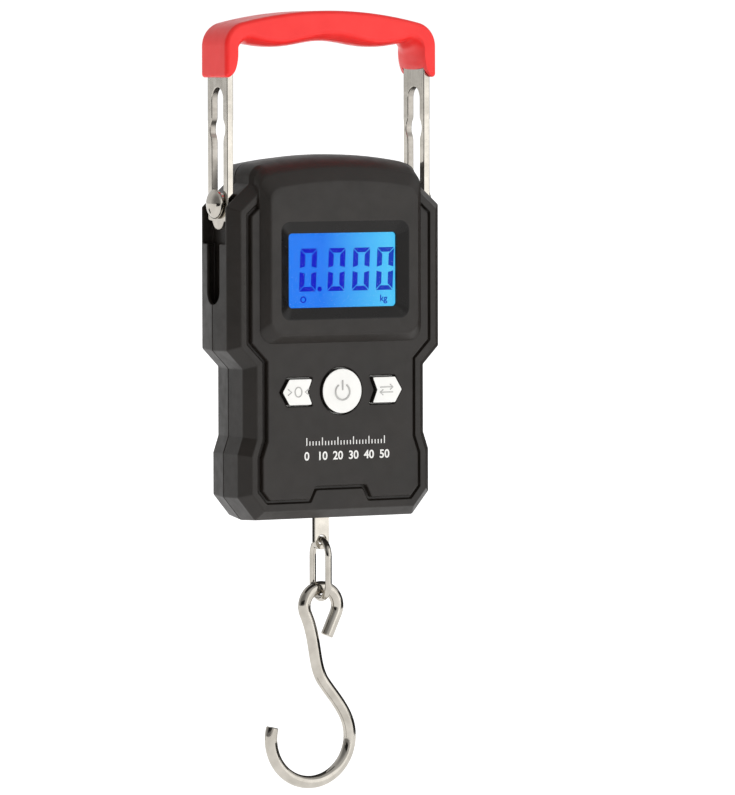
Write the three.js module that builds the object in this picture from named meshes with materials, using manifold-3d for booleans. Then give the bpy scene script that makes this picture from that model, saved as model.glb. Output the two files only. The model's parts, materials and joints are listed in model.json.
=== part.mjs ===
// Digital fish scale: a carrying handle of bent steel strip with a moulded grip, a two-part case
// that hangs on two shoulder screws in the handle's slots, a load cell, display and batteries
// inside the case, and a wire hook that hangs from the load cell's strap on a chain link.
//
// Drawing frame, in millimetres: X across the case, Y from front to back with zero in the load
// plane where the two case halves meet, Z up from the case's lower edge. The exported group moves
// the origin to the middle of the grip's underside, where a hand carries the scale.
import * as THREE from 'three';
import { mergeVertices } from 'three/addons/utils/BufferGeometryUtils.js';
import Module from 'manifold-3d';

const wasm = await Module();
wasm.setup();

// ---- Driving dimensions ----
const fit = 0.3; // gap round a piece that another piece holds
const seat = 0.1; // gap under a piece that rests on another
const reach = 60; // long enough to cut right through the case
const overhead = 200; // higher than any piece

// Case outline: half widths and heights at the front bevel's outer edge
const caseHeight = 112.8;
const upperHalf = 37.5;
const waistHalf = 32;
const lowerHalf = 33.8;
const bottomHalf = 27.9;
const capHalf = 29.5;
const lowerCornerZ = 7.1;
const lowerTopZ = 20.5;
const waistBottomZ = 25.8;
const waistTopZ = 46.9;
const upperBottomZ = 52.6;
const shoulderZ = 96.9;
const capFootZ = 104;
const capCornerRadius = 4.5;
const archRadius = 140;

// Case section, front to back
const halfDepth = 12.6;
const bevel = 3; // front bevel, across X
const bevelDepth = 3.9;
const draft = 0.4; // how far the sides widen from the bevel to the seam
const rearTaper = 1; // how far they draw in again towards the back
const rearBevel = 3.2;
const rearBevelY = 8.7;
const seam = 0.1; // half the gap between the two case halves
const wall = 2.4;

// Groove round the front panel, and the panel
const grooveOuterInset = 5.1;
const panelInset = 6.3;
const grooveDepth = 0.9;
const panelRise = 1;
const panelY = -halfDepth - panelRise;
const panelWall = 2;
const tabTopHalf = 9;
const tabBottomHalf = 10.9;
const tabTopZ = 10.2;

// Display hood
const hoodY = -16.65;
const hoodFaceHalf = 26;
const hoodBaseHalf = 28.6;
const hoodFaceBottomZ = 57.3;
const hoodBaseBottomZ = 54.6;
const hoodCorner = 4.5;
const rollBackY = -4.6; // where the hood's rolled top reaches the case's full height
const rollStartZ = 102;
const windowHalf = 19;
const windowBottomZ = 65.6;
const windowTopZ = 88.6;
const bezelBorder = 3.4;
const windowY = -14.9;
const hoodWall = 0.8; // behind the window's edge
const lensFlange = 0.6;
const lensMargin = 1.5; // how far the flange reaches past the window

// Handle
const stripThickness = 2.2;
const stripWidth = 13;
const bracketHalf = 35.9;
const bracketTopZ = 152.8;
const bracketBend = 9;
const armTipZ = 89.7;
const tipHalfWidth = 3.9;
const slotHalf = 3.7;
const slotTopZ = 133.6;
const slotWideHalf = 4.9;
const slotWideZ = 120.7;
const slotWideReach = 4.2;
const gripHalf = 37.2;
const gripHalfDepth = 8.6;
const gripTopZ = 157.3;
const gripArchRadius = 135;
const gripCorner = 7.5;
const gripFootZ = 136.7;
const gripUndersideZ = 148;
const legInner = 32.2;
const footCorner = 0.9;
const footTip = 1.3;
const footSweepHeight = 6.3;
const fingerPitch = 35.8; // from one finger hollow's middle to the next
const fingerDepth = 0.95;
const fingerEdgeDepth = 1.45; // of the same hollows at the grip's front and back
const crownHeight = 2.4; // the underside's rise from the middle to the front and back
const legCrown = 0.8;

// Shoulder screws, and the channels that the arms slide in
const screwZ = 97.7;
const shankRadius = 3.4;
const headRadius = 4.6;
const headRise = 2.6;
const threadRadius = 2;
const channelInner = 33.3;
const channelOuter = 36.3;
const channelHalfWidth = 6.9;
const channelBottomZ = 55.6;
const notchBottomZ = 85.4; // above this the case's side is cut away down to the channel
const notchHalfWidth = 7.9;
const sideSlotHalf = 4.3;
const sideSlotBottomZ = 66.6;

// Buttons
const buttonZ = 39.6;
const buttonFaceY = -14.6;
const buttonGap = 0.5;
const buttonFlange = 0.9;
const powerRadius = 6.9;
const arrowTip = 21.1;
const arrowShoulder = 18.7;
const arrowBack = 10.7;
const arrowNotch = 12.3;
const arrowHalfHeight = 4;

// Circuit board stack
const boardFrontY = -7;
const boardRearY = -5.4;
const boardHalf = 23.4;
const boardBottomZ = 25;
const boardTopZ = 98;
const glassHalf = 21;
const glassBottomZ = 61.5;
const glassTopZ = 92.7;

// Load path below the screws
const yokeThickness = 2.6;
const yokeFloorZ = 86.4;
const yokeHalfDepth = 4.6;
const yokeOuter = channelInner - 2.1;
const yokeTopZ = screwZ + 3;
const cellHalf = 15;
const cellBottomZ = 61;
const cellTopZ = 86.3;
const cellHalfDepth = 4;
const strapHalf = 2.5;
const strapThickness = 2;
const strapHoleZ = -7.5;
const strapHoleRadius = 1.5;
const strapBottomZ = -10.6;
const strapPinZ = 65.5;
const strapPinRadius = 1.5;
const strapGap = 0.8; // round the strap where it leaves the case
const loadHoleRadius = 2.8; // the cell's two joined holes
const loadHoleX = 3.6;
const loadSlotZ = 5.4; // the cell's side slots, from its middle
const loadSlotWidth = 1;
const boltRadius = 2;
const boltHeadRadius = 4;
const boltHeadHeight = 3;

// Link and hook
const linkWire = 2.1;
const linkHalf = 5.1;
const hookWire = 4;
const hookEyeTopZ = -22.5;
const eyeRadius = 5.85;
const eyeOpening = 25; // degrees below level where the eye's arc ends on each side
const bowlCentreX = -3.8;
const bowlCentreZ = -69.4;
const bowlRadius = 14;

// Battery bay and cover
const cellRadius = 5.25; // size AAA
const cellLength = 44.5;
const batteryX = 15.2;
const batteryY = 5.45;
const batteryBottomZ = 11;
const bayHalf = 5.6;
const bayWall = 1.2;
const bayBottomZ = 7.4;
const bayTopZ = 57.4;
const coverHalf = 23.4;
const coverBottomZ = 5.6;
const coverTopZ = 59;
const coverThickness = 1.6;

// Fasteners
const caseScrewRadius = 1.3;
const caseScrewHead = 2.6;
const boardScrewRadius = 1;
const bossRadius = 3;
const boardBossRadius = 2.4;

// ---- Outlines, as lists of points running anticlockwise seen from the front ----
const point = (x, z) => new THREE.Vector2(x, z);
const degrees = THREE.MathUtils.degToRad;

function arc(x, z, radius, from, to, steps) {
  const points = [];
  for (let i = 0; i <= steps; i += 1) {
    const angle = degrees(from + ((to - from) * i) / steps);
    points.push(point(x + radius * Math.cos(angle), z + radius * Math.sin(angle)));
  }
  return points;
}

// A right-hand half, bottom to top, and its mirror image; a point on the middle line isn't doubled.
function mirrored(rightHalf) {
  const leftHalf = rightHalf.filter((p) => p.x > 0.001).map((p) => point(-p.x, p.y));
  return [...rightHalf, ...leftHalf.reverse()];
}

// Moves every edge inwards by one distance; a negative distance moves them outwards.
function inset(points, distance) {
  const inward = (a, b) => point(a.y - b.y, b.x - a.x).normalize();
  return points.map((p, i) => {
    const before = inward(points.at(i - 1), p);
    const after = inward(p, points[(i + 1) % points.length]);
    const mitre = before.clone().add(after).divideScalar(1 + before.dot(after));
    return p.clone().addScaledVector(mitre, distance);
  });
}

function roundedBox(half, bottom, top, radius, steps = 4) {
  return [
    ...arc(half - radius, bottom + radius, radius, -90, 0, steps),
    ...arc(half - radius, top - radius, radius, 0, 90, steps),
    ...arc(radius - half, top - radius, radius, 90, 180, steps),
    ...arc(radius - half, bottom + radius, radius, 180, 270, steps),
  ];
}

// The arched top that the case and the hood share, from the right side up to the middle
function archedTop(half, top, corner, steps = 5) {
  const centre = top - archRadius;
  const cornerX = half - corner;
  const cornerZ = centre + Math.sqrt((archRadius - corner) ** 2 - cornerX ** 2);
  const join = THREE.MathUtils.radToDeg(Math.atan2(cornerZ - centre, cornerX));
  return [
    ...arc(cornerX, cornerZ, corner, 0, join, steps),
    ...arc(0, centre, archRadius, join, 90, steps + 1).slice(1),
  ];
}

const caseFlank = [
  point(bottomHalf, 0),
  point(lowerHalf, lowerCornerZ),
  point(lowerHalf, lowerTopZ),
  point(waistHalf, waistBottomZ),
  point(waistHalf, waistTopZ),
  point(upperHalf, upperBottomZ),
  point(upperHalf, shoulderZ),
  point(capHalf, capFootZ),
];

function caseOutline(top = caseHeight) {
  return mirrored([...caseFlank, ...archedTop(capHalf, top, capCornerRadius)]);
}

function panelOutline() {
  const frame = inset(mirrored(caseFlank), panelInset);
  const bottomZ = frame[0].y;
  const tab = [
    point(-tabBottomHalf, bottomZ),
    point(-tabTopHalf, tabTopZ),
    point(tabTopHalf, tabTopZ),
    point(tabBottomHalf, bottomZ),
  ];
  return [...frame, ...tab];
}

function hoodOutline(half, bottom, top) {
  const lowerCorner = arc(half - hoodCorner, bottom + hoodCorner, hoodCorner, -90, 0, 4);
  return mirrored([...lowerCorner, ...archedTop(half, top, capCornerRadius)]);
}

function arrowOutline(side) {
  const right = [
    point(arrowBack, buttonZ - arrowHalfHeight),
    point(arrowShoulder, buttonZ - arrowHalfHeight),
    point(arrowTip, buttonZ),
    point(arrowShoulder, buttonZ + arrowHalfHeight),
    point(arrowBack, buttonZ + arrowHalfHeight),
    point(arrowNotch, buttonZ),
  ];
  return side > 0 ? right : right.map((p) => point(-p.x, p.y)).reverse();
}

// ---- Solids ----
function solidOf(geometry) {
  geometry.deleteAttribute('normal');
  geometry.deleteAttribute('uv');
  const merged = mergeVertices(geometry);
  return new wasm.Manifold(new wasm.Mesh({
    numProp: 3,
    vertProperties: Float32Array.from(merged.attributes.position.array),
    triVerts: Uint32Array.from(merged.index.array),
  }));
}

function geometryOf(solid) {
  const { vertProperties, triVerts } = solid.getMesh();
  const geometry = new THREE.BufferGeometry();
  geometry.setAttribute('position', new THREE.BufferAttribute(vertProperties.slice(), 3));
  geometry.setIndex(new THREE.BufferAttribute(triVerts.slice(), 1));
  const faceted = geometry.toNonIndexed();
  faceted.computeVertexNormals();
  return faceted;
}

const join = (first, ...others) => others.reduce((whole, other) => whole.add(other), first);
const cut = (first, ...others) => others.reduce((whole, other) => whole.subtract(other), first);

function block([x0, x1], [y0, y1], [z0, z1]) {
  const box = new THREE.BoxGeometry(x1 - x0, y1 - y0, z1 - z0);
  return solidOf(box.translate((x0 + x1) / 2, (y0 + y1) / 2, (z0 + z1) / 2));
}

// A round bar along one axis between two places on it; u and v are its place on the other two,
// in X, Y, Z order.
function bar(axis, radius, [from, to], [u, v], sides = 24, endRadius = radius) {
  const cylinder = new THREE.CylinderGeometry(endRadius, radius, to - from, sides);
  const middle = (from + to) / 2;
  if (axis === 'x') {
    return solidOf(cylinder.rotateZ(-Math.PI / 2).translate(middle, u, v));
  }
  if (axis === 'y') {
    return solidOf(cylinder.translate(u, middle, v));
  }
  return solidOf(cylinder.rotateX(Math.PI / 2).translate(u, v, middle));
}

// Skin through outlines with the same number of points, placed one behind the other
function loft(sections) {
  const corners = [];
  const at = ({ y, points }, i) => [points[i].x, y, points[i].y];
  const count = sections[0].points.length;
  const cap = (section, flip) => {
    THREE.ShapeUtils.triangulateShape(section.points, []).forEach((face) => {
      const order = flip ? [...face].reverse() : face;
      order.forEach((i) => corners.push(...at(section, i)));
    });
  };
  cap(sections[0], false);
  cap(sections.at(-1), true);
  for (let s = 1; s < sections.length; s += 1) {
    const [front, back] = [sections[s - 1], sections[s]];
    for (let i = 0; i < count; i += 1) {
      const next = (i + 1) % count;
      corners.push(...at(front, i), ...at(back, i), ...at(back, next));
      corners.push(...at(front, i), ...at(back, next), ...at(front, next));
    }
  }
  const geometry = new THREE.BufferGeometry();
  geometry.setAttribute('position', new THREE.Float32BufferAttribute(corners, 3));
  return solidOf(geometry);
}

const plate = (points, [y0, y1]) => loft([{ y: y0, points }, { y: y1, points }]);

// An outline drawn in Y and Z, given thickness along X
function sidePlate(points, [x0, x1]) {
  const sheet = new THREE.ExtrudeGeometry(new THREE.Shape(points), {
    depth: x1 - x0,
    bevelEnabled: false,
  });
  return solidOf(sheet.rotateX(Math.PI / 2).rotateZ(Math.PI / 2).translate(x0, 0, 0));
}

function polygonSection(radius, sides) {
  const turn = 360 / sides;
  return new THREE.Shape(arc(0, 0, radius, turn / 2, 360 - turn / 2, sides - 1));
}

function wire(curve, radius, steps, sides) {
  return solidOf(new THREE.ExtrudeGeometry(polygonSection(radius, sides), {
    steps,
    extrudePath: curve,
    curveSegments: 1,
    bevelEnabled: false,
  }));
}

const bothSides = (make) => join(make(1), make(-1));
const span = (side, inner, outer) => (side > 0 ? [inner, outer] : [-outer, -inner]);

// ---- Materials ----
const finish = (color, roughness, metalness = 0) => ({ color, roughness, metalness });
const darkPlastic = finish(0x3b3937, 0.55);
const redPlastic = finish(0xd8322f, 0.3);
const buttonPlastic = finish(0xe4e2df, 0.4);
const nickel = finish(0xc9c5bd, 0.2, 1);
const steel = finish(0x9a9a9a, 0.35, 1);
const aluminium = finish(0xb9bbbe, 0.4, 1);
const brass = finish(0xb89b5e, 0.4, 1);
const clear = finish(0xdfeaf2, 0.05);
const blueGlass = finish(0x2d8cf5, 0.2);
const whitePlastic = finish(0xe8e8e4, 0.5);
const boardGreen = finish(0x1f5a3a, 0.5);
const blackPlastic = finish(0x1b1b1c, 0.5);
const redWire = finish(0xb3241f, 0.5);
const silicone = finish(0xe9e9e6, 0.6);
const cellWrap = finish(0x4a6a86, 0.35);

const scale = new THREE.Group();

function add(name, solid, material) {
  const mesh = new THREE.Mesh(geometryOf(solid), new THREE.MeshStandardMaterial(material));
  mesh.name = name;
  scale.add(mesh);
}

// ---- Handle: bent strip with a slot in each arm, and its grip ----
function bracketOutline(grow) {
  const outer = bracketHalf + grow;
  const inner = bracketHalf - stripThickness - grow;
  const foot = armTipZ - grow;
  const bendX = bracketHalf - bracketBend;
  const bendZ = bracketTopZ - bracketBend;
  const outside = mirrored([
    point(outer, foot),
    ...arc(bendX, bendZ, bracketBend + grow, 0, 90, 6),
  ]);
  const inside = mirrored([
    point(inner, foot),
    ...arc(bendX, bendZ, bracketBend - stripThickness - grow, 0, 90, 6),
  ]);
  return [...outside, ...inside.reverse()];
}

// The long slot: round ends, and a short wider stretch half-way up
function armSlotPoints() {
  const slot = new THREE.Path();
  const topCentre = slotTopZ - slotHalf;
  const side = (sign) => {
    const near = slotWideZ - sign * slotWideReach;
    const far = slotWideZ + sign * slotWideReach;
    slot.lineTo(sign * slotHalf, near);
    slot.bezierCurveTo(sign * slotHalf, slotWideZ - sign * 2, sign * slotWideHalf,
      slotWideZ - sign * 2, sign * slotWideHalf, slotWideZ);
    slot.bezierCurveTo(sign * slotWideHalf, slotWideZ + sign * 2, sign * slotHalf,
      slotWideZ + sign * 2, sign * slotHalf, far);
  };
  slot.absarc(0, screwZ, slotHalf, Math.PI, 2 * Math.PI);
  side(1);
  slot.absarc(0, topCentre, slotHalf, 0, Math.PI);
  side(-1);
  return slot.getPoints(4);
}

function armTipOutline() {
  const half = stripWidth / 2;
  const taperZ = screwZ - slotHalf - 1.5;
  return [
    ...arc(0, armTipZ + tipHalfWidth, tipHalfWidth, -160, -20, 8),
    point(half, taperZ),
    point(half, bracketTopZ + 1),
    point(-half, bracketTopZ + 1),
    point(-half, taperZ),
  ];
}

function handleBracket() {
  const halfWidth = stripWidth / 2;
  const strip = plate(bracketOutline(0), [-halfWidth, halfWidth]);
  const slots = sidePlate(armSlotPoints(), [-reach, reach]);
  const silhouette = sidePlate(armTipOutline(), [-reach, reach]);
  return strip.intersect(silhouette).subtract(slots);
}

// How far the grip's rounding has come at a depth: 0 in the middle, 1 at its front and back
const gripCrown = (y) => Math.abs(y / gripHalfDepth) ** 2.5;
const gripEdge = (y) => 1.1 * Math.abs(y / gripHalfDepth) ** 8;

// Underside with a hollow for each pair of fingers
const gripUnderside = (x, y) => {
  const crown = gripCrown(y);
  const depth = fingerDepth + (fingerEdgeDepth - fingerDepth) * crown;
  const wave = depth * (Math.cos((2 * Math.PI * x) / fingerPitch) - 1);
  return gripUndersideZ + wave + crownHeight * crown;
};

// A leg's inner wall curves outwards to the narrow tip of its foot
function footSweep(inner, tip, foot) {
  const steps = 4;
  const lastTurn = degrees(60);
  return Array.from({ length: steps + 1 }, (_, i) => {
    const turn = (lastTurn * i) / steps;
    const x = inner + (tip - inner) * 2 * (1 - Math.cos(turn));
    return point(x, foot + footSweepHeight * (1 - Math.sin(turn) / Math.sin(lastTurn)));
  });
}

function gripSection(y) {
  const edge = gripEdge(y);
  const half = gripHalf - edge;
  const corner = gripCorner - edge;
  const top = gripTopZ - edge;
  const archCentre = top - gripArchRadius;
  const cornerX = half - corner;
  const cornerZ = archCentre + Math.sqrt((gripArchRadius - corner) ** 2 - cornerX ** 2);
  const joinAngle = THREE.MathUtils.radToDeg(Math.atan2(cornerZ - archCentre, cornerX));
  const foot = gripFootZ + edge;
  const outside = [
    ...arc(half - footCorner, foot + footCorner, footCorner, -90, 0, 2),
    ...arc(cornerX, cornerZ, corner, 0, joinAngle, 7),
    ...arc(0, archCentre, gripArchRadius, joinAngle, 90, 6).slice(1),
  ];
  const inner = legInner + legCrown * gripCrown(y);
  const innerCorner = 4.5;
  const waveEnd = inner - innerCorner;
  const cornerTop = gripUnderside(waveEnd, y);
  const inside = [];
  const waveSteps = 9;
  for (let i = 0; i <= waveSteps; i += 1) {
    const x = (waveEnd * i) / waveSteps;
    inside.push(point(x, gripUnderside(x, y)));
  }
  inside.push(...arc(waveEnd, cornerTop - innerCorner, innerCorner, 90, 0, 5).slice(1));
  inside.push(...footSweep(inner, half - footTip, foot));
  const leftInside = inside.slice(1).map((p) => point(-p.x, p.y)).reverse();
  return { y, points: [...mirrored(outside), ...leftInside, ...inside] };
}

function handleGrip() {
  const depths = [-1, -0.93, -0.8, -0.5, 0, 0.5, 0.8, 0.93, 1];
  const body = loft(depths.map((share) => gripSection(share * gripHalfDepth)));
  const pocketHalf = stripWidth / 2 + fit;
  return body.subtract(plate(bracketOutline(fit), [-pocketHalf, pocketHalf]));
}

// ---- Case ----
// Height of the rolled front top at a depth
function rolledTop(y) {
  const share = Math.min(1, Math.max(0, (rollBackY - y) / (rollBackY - hoodY)));
  return rollStartZ + (caseHeight - rollStartZ) * Math.sqrt(1 - share ** 2);
}

function hoodBody() {
  const turns = [0, 12, 25, 40, 55, 72, 90];
  return loft(turns.map((turn) => {
    const y = rollBackY - (rollBackY - hoodY) * Math.cos(degrees(turn));
    const slope = Math.min(1, (y - hoodY) / (panelY - hoodY));
    const half = hoodFaceHalf + slope * (hoodBaseHalf - hoodFaceHalf);
    const bottom = hoodFaceBottomZ + slope * (hoodBaseBottomZ - hoodFaceBottomZ);
    return { y, points: hoodOutline(half, bottom, rolledTop(y)) };
  }));
}

// Solid beside the cavity that the arm channels are cut from
function channelBlocks() {
  return bothSides((side) => block(
    span(side, channelInner - 2, upperHalf - 0.5),
    [-channelHalfWidth - 2, channelHalfWidth + 2],
    [channelBottomZ - 2, screwZ + 1],
  ));
}

function armOpenings(side) {
  const channel = block(
    span(side, channelInner, channelOuter),
    [-channelHalfWidth, channelHalfWidth],
    [channelBottomZ, caseHeight],
  );
  const notch = block(
    span(side, channelInner, reach),
    [-notchHalfWidth, notchHalfWidth],
    [notchBottomZ, caseHeight],
  );
  const slot = join(
    block(
      span(side, channelInner + 1, reach),
      [-sideSlotHalf, sideSlotHalf],
      [sideSlotBottomZ + sideSlotHalf, notchBottomZ + 1],
    ),
    bar('x', sideSlotHalf, span(side, channelInner + 1, reach),
      [0, sideSlotBottomZ + sideSlotHalf]),
  );
  const screwHole = bar('x', shankRadius + fit, span(side, 20, reach), [0, screwZ]);
  const earPocket = block(
    span(side, yokeOuter - yokeThickness - fit, yokeOuter + fit / 2),
    [-yokeHalfDepth - fit, yokeHalfDepth + fit],
    [yokeFloorZ, yokeTopZ + fit],
  );
  return join(channel, notch, slot, screwHole, earPocket);
}

const caseScrewPlaces = [
  [-27.2, 13], [27.2, 13], [-27.2, 78], [27.2, 78],
];
const boardScrewPlaces = [
  [-20.6, 28], [20.6, 28], [-20.6, 56.6], [20.6, 56.6],
];

function buttonHoles() {
  return join(
    bar('y', powerRadius + buttonGap, [-reach, 0], [0, buttonZ], 32),
    plate(inset(arrowOutline(1), -buttonGap), [-reach, 0]),
    plate(inset(arrowOutline(-1), -buttonGap), [-reach, 0]),
  );
}

function strapHole() {
  const depth = strapThickness / 2 + strapGap;
  return block([-strapHalf - strapGap, strapHalf + strapGap], [-depth, depth], [-1, 4]);
}

function displayAperture() {
  const bezel = loft([
    {
      y: hoodY - 0.1,
      points: roundedBox(windowHalf + bezelBorder, windowBottomZ - bezelBorder,
        windowTopZ + bezelBorder, 3),
    },
    { y: windowY, points: roundedBox(windowHalf, windowBottomZ, windowTopZ, 1.2) },
  ]);
  const opening = plate(
    roundedBox(windowHalf, windowBottomZ, windowTopZ, 1.2),
    [windowY - 0.1, windowY + 4],
  );
  return join(bezel, opening);
}

function frontCavity() {
  const hollow = loft([
    { y: -9.2, points: inset(caseOutline(), 4.4) },
    { y: -6.6, points: inset(caseOutline(), wall) },
    { y: 1, points: inset(caseOutline(), wall) },
  ]);
  const behindPanel = plate(
    inset(mirrored(caseFlank), panelInset + 1.4),
    [panelY + panelWall, -9],
  );
  const behindHood = loft([
    {
      y: windowY + hoodWall,
      points: hoodOutline(hoodBaseHalf - wall, hoodBaseBottomZ + 4, rollStartZ),
    },
    { y: -9, points: hoodOutline(hoodBaseHalf - wall, hoodBaseBottomZ + 4, rollStartZ + 5) },
  ]);
  return join(hollow, behindPanel, behindHood);
}

function frontCover() {
  const body = loft([
    { y: -halfDepth, points: inset(caseOutline(rolledTop(-halfDepth) + bevel - 0.4), bevel) },
    { y: bevelDepth - halfDepth, points: caseOutline(rolledTop(bevelDepth - halfDepth)) },
    { y: rollBackY, points: inset(caseOutline(caseHeight - draft / 2), -draft / 2) },
    { y: -seam, points: inset(caseOutline(caseHeight - draft), -draft) },
  ]);
  const groove = plate(
    inset(panelOutline(), grooveOuterInset - panelInset),
    [-halfDepth - 1, -halfDepth + grooveDepth],
  );
  const panel = plate(panelOutline(), [panelY, -halfDepth + grooveDepth + 0.5]);
  const outside = join(body.subtract(groove), panel, hoodBody());
  const shell = join(outside.subtract(frontCavity()), channelBlocks().intersect(body));
  const trimmed = shell.subtract(block([-reach, reach], [-seam, reach], [-reach, overhead]));
  const screwBosses = join(...caseScrewPlaces.map(([x, z]) => cut(
    bar('y', bossRadius, [-11, -seam], [x, z]),
    bar('y', caseScrewRadius + 0.05, [-9, 1], [x, z]),
  )));
  const boardBosses = join(...boardScrewPlaces.map(([x, z]) => cut(
    bar('y', boardBossRadius, [panelY + 1, boardFrontY - seat], [x, z], 16),
    bar('y', boardScrewRadius + 0.05, [-10.5, 0], [x, z], 16),
  )));
  return cut(
    join(trimmed, screwBosses, boardBosses),
    armOpenings(1),
    armOpenings(-1),
    displayAperture(),
    buttonHoles(),
    strapHole(),
  );
}

// ---- Rear cover, with a bay for each cell on either side of the load path ----
const rearOuterInset = rearTaper - draft;

function bayBlock(side, grow) {
  return block(
    span(side, batteryX - bayHalf - grow, batteryX + bayHalf + grow),
    [-0.1 - grow, halfDepth],
    [bayBottomZ - grow, bayTopZ + grow],
  );
}

function rearCover() {
  const body = loft([
    { y: seam, points: inset(caseOutline(caseHeight - draft), -draft) },
    { y: rearBevelY, points: inset(caseOutline(), rearOuterInset) },
    { y: halfDepth, points: inset(caseOutline(), rearOuterInset + rearBevel) },
  ]);
  const cavity = loft([
    { y: -1, points: inset(caseOutline(), wall) },
    { y: rearBevelY - 1, points: inset(caseOutline(), wall + rearOuterInset) },
    { y: halfDepth - wall, points: inset(caseOutline(), 4.4) },
  ]);
  const shell = join(body.subtract(cavity), channelBlocks().intersect(body));
  const trimmed = shell.subtract(block([-reach, reach], [-reach, seam], [-reach, overhead]));
  const screwBosses = join(...caseScrewPlaces.map(([x, z]) => (
    bar('y', bossRadius + 0.8, [seam, halfDepth - 1], [x, z])
  )));
  const screwWells = join(...caseScrewPlaces.map(([x, z]) => join(
    bar('y', caseScrewRadius + fit, [-1, reach], [x, z]),
    bar('y', caseScrewHead + fit, [4, reach], [x, z]),
  )));
  const coverRecess = block(
    [-coverHalf - fit, coverHalf + fit],
    [halfDepth - coverThickness - seat, reach],
    [coverBottomZ - fit, coverTopZ + fit],
  );
  const fingerNotch = bar('y', 5, [halfDepth - 1, reach], [0, coverTopZ + 1.5]);
  const bays = bothSides((side) => bayBlock(side, bayWall));
  const bayHollows = bothSides((side) => bayBlock(side, 0));
  return cut(
    join(trimmed, screwBosses, bays),
    bayHollows,
    coverRecess,
    fingerNotch,
    screwWells,
    strapHole(),
    armOpenings(1),
    armOpenings(-1),
  );
}

// Snap-in cover: a plate with a flexing latch tongue cut free on three sides, and locating ribs
function batteryCover() {
  const outerY = halfDepth - 0.02;
  const plateY = [outerY - coverThickness, outerY];
  const sheet = block([-coverHalf, coverHalf], plateY, [coverBottomZ, coverTopZ]);
  const tongueHalf = 6;
  const tongueFootZ = coverTopZ - 9;
  const slit = (x) => block([x - 0.5, x + 0.5], [0, reach], [tongueFootZ, reach]);
  const pressPad = block([-4.5, 4.5], [outerY - 0.5, outerY + 1], [coverTopZ - 4, coverTopZ - 1]);
  const ribs = [-1, 1].map((side) => block(
    span(side, batteryX - 4, batteryX + 4),
    [outerY - coverThickness - 0.1, outerY - coverThickness + 0.2],
    [bayBottomZ + 6, bayTopZ - 6],
  ));
  return cut(join(sheet, ...ribs), slit(-tongueHalf), slit(tongueHalf), pressPad);
}

// ---- Display stack and buttons ----
function displayWindow() {
  const flange = roundedBox(windowHalf + lensMargin, windowBottomZ - lensMargin,
    windowTopZ + lensMargin, 1.5);
  const raised = roundedBox(windowHalf - fit, windowBottomZ + fit, windowTopZ - fit, 1);
  const flangeY = windowY + hoodWall + seat;
  return join(
    plate(flange, [flangeY, flangeY + lensFlange]),
    plate(raised, [windowY + 0.2, flangeY + lensFlange / 2]),
  );
}

const glassThickness = 2.2;
const glassFrontY = windowY + hoodWall + seat + lensFlange + seat;
const glassY = [glassFrontY, glassFrontY + glassThickness];
const backlightY = [glassY[1] + seat, boardFrontY - seat];

function displayFrame() {
  const border = (half, low, high) => roundedBox(half, low, high, 1);
  return cut(
    plate(border(glassHalf + 1.6, glassBottomZ - 1.6, glassTopZ + 1.6), [glassY[0], boardFrontY - seat]),
    plate(border(glassHalf + fit, glassBottomZ - fit, glassTopZ + fit), [-reach, reach]),
  );
}

function circuitBoard() {
  const sheet = plate(
    roundedBox(boardHalf, boardBottomZ, boardTopZ, 1.5),
    [boardFrontY, boardRearY],
  );
  const holes = boardScrewPlaces.map(([x, z]) => (
    bar('y', boardScrewRadius + fit, [-reach, reach], [x, z], 16)
  ));
  return cut(sheet, ...holes);
}

// A six-millimetre push switch with a round plunger
function tactileSwitch(x) {
  const half = 3;
  const rearY = boardFrontY - seat;
  const frontY = rearY - 2;
  const body = block([x - half, x + half], [frontY, rearY], [buttonZ - half, buttonZ + half]);
  return join(body, bar('y', 1.7, [frontY - 0.6, frontY + 0.1], [x, buttonZ], 16));
}

const flangeFrontY = panelY + panelWall + fit;
const buttonRearY = flangeFrontY + 1;

function powerButton() {
  return join(
    bar('y', powerRadius, [buttonFaceY, buttonRearY], [0, buttonZ], 32),
    bar('y', powerRadius + buttonFlange + buttonGap, [flangeFrontY, buttonRearY], [0, buttonZ], 32),
  );
}

function arrowButton(side) {
  const outline = arrowOutline(side);
  return join(
    plate(outline, [buttonFaceY, buttonRearY]),
    plate(inset(outline, -buttonFlange - buttonGap), [flangeFrontY, buttonRearY]),
  );
}

// ---- Load path: screws, yoke, cell, strap ----
function shoulderScrew(side) {
  const headY = channelOuter;
  const dome = [headRadius, headRadius * 0.94, headRadius * 0.72, headRadius * 0.4];
  const steps = dome.map((radius, i) => {
    const from = headY + (headRise * i) / dome.length;
    const to = headY + (headRise * (i + 1)) / dome.length;
    const next = dome[i + 1] ?? 0.8;
    const taper = side > 0 ? [radius, next] : [next, radius];
    return bar('x', taper[0], span(side, from, to), [0, screwZ], 20, taper[1]);
  });
  return join(
    bar('x', shankRadius, span(side, channelInner - 1.9, headY), [0, screwZ]),
    bar('x', threadRadius, span(side, 27, headY - 1), [0, screwZ], 16),
    ...steps,
  );
}

function loadYoke() {
  const earDepth = [-yokeHalfDepth, yokeHalfDepth];
  const inner = yokeOuter - yokeThickness;
  const ears = bothSides((side) => block(
    span(side, inner, yokeOuter), earDepth, [yokeFloorZ, yokeTopZ],
  ));
  const floor = block([-yokeOuter, yokeOuter], earDepth, [yokeFloorZ, yokeFloorZ + yokeThickness]);
  return cut(
    join(ears, floor),
    bar('x', threadRadius + 0.05, [-reach, reach], [0, screwZ], 16),
    bar('z', boltRadius + 0.6, [0, overhead], [0, 0]),
  );
}

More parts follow.
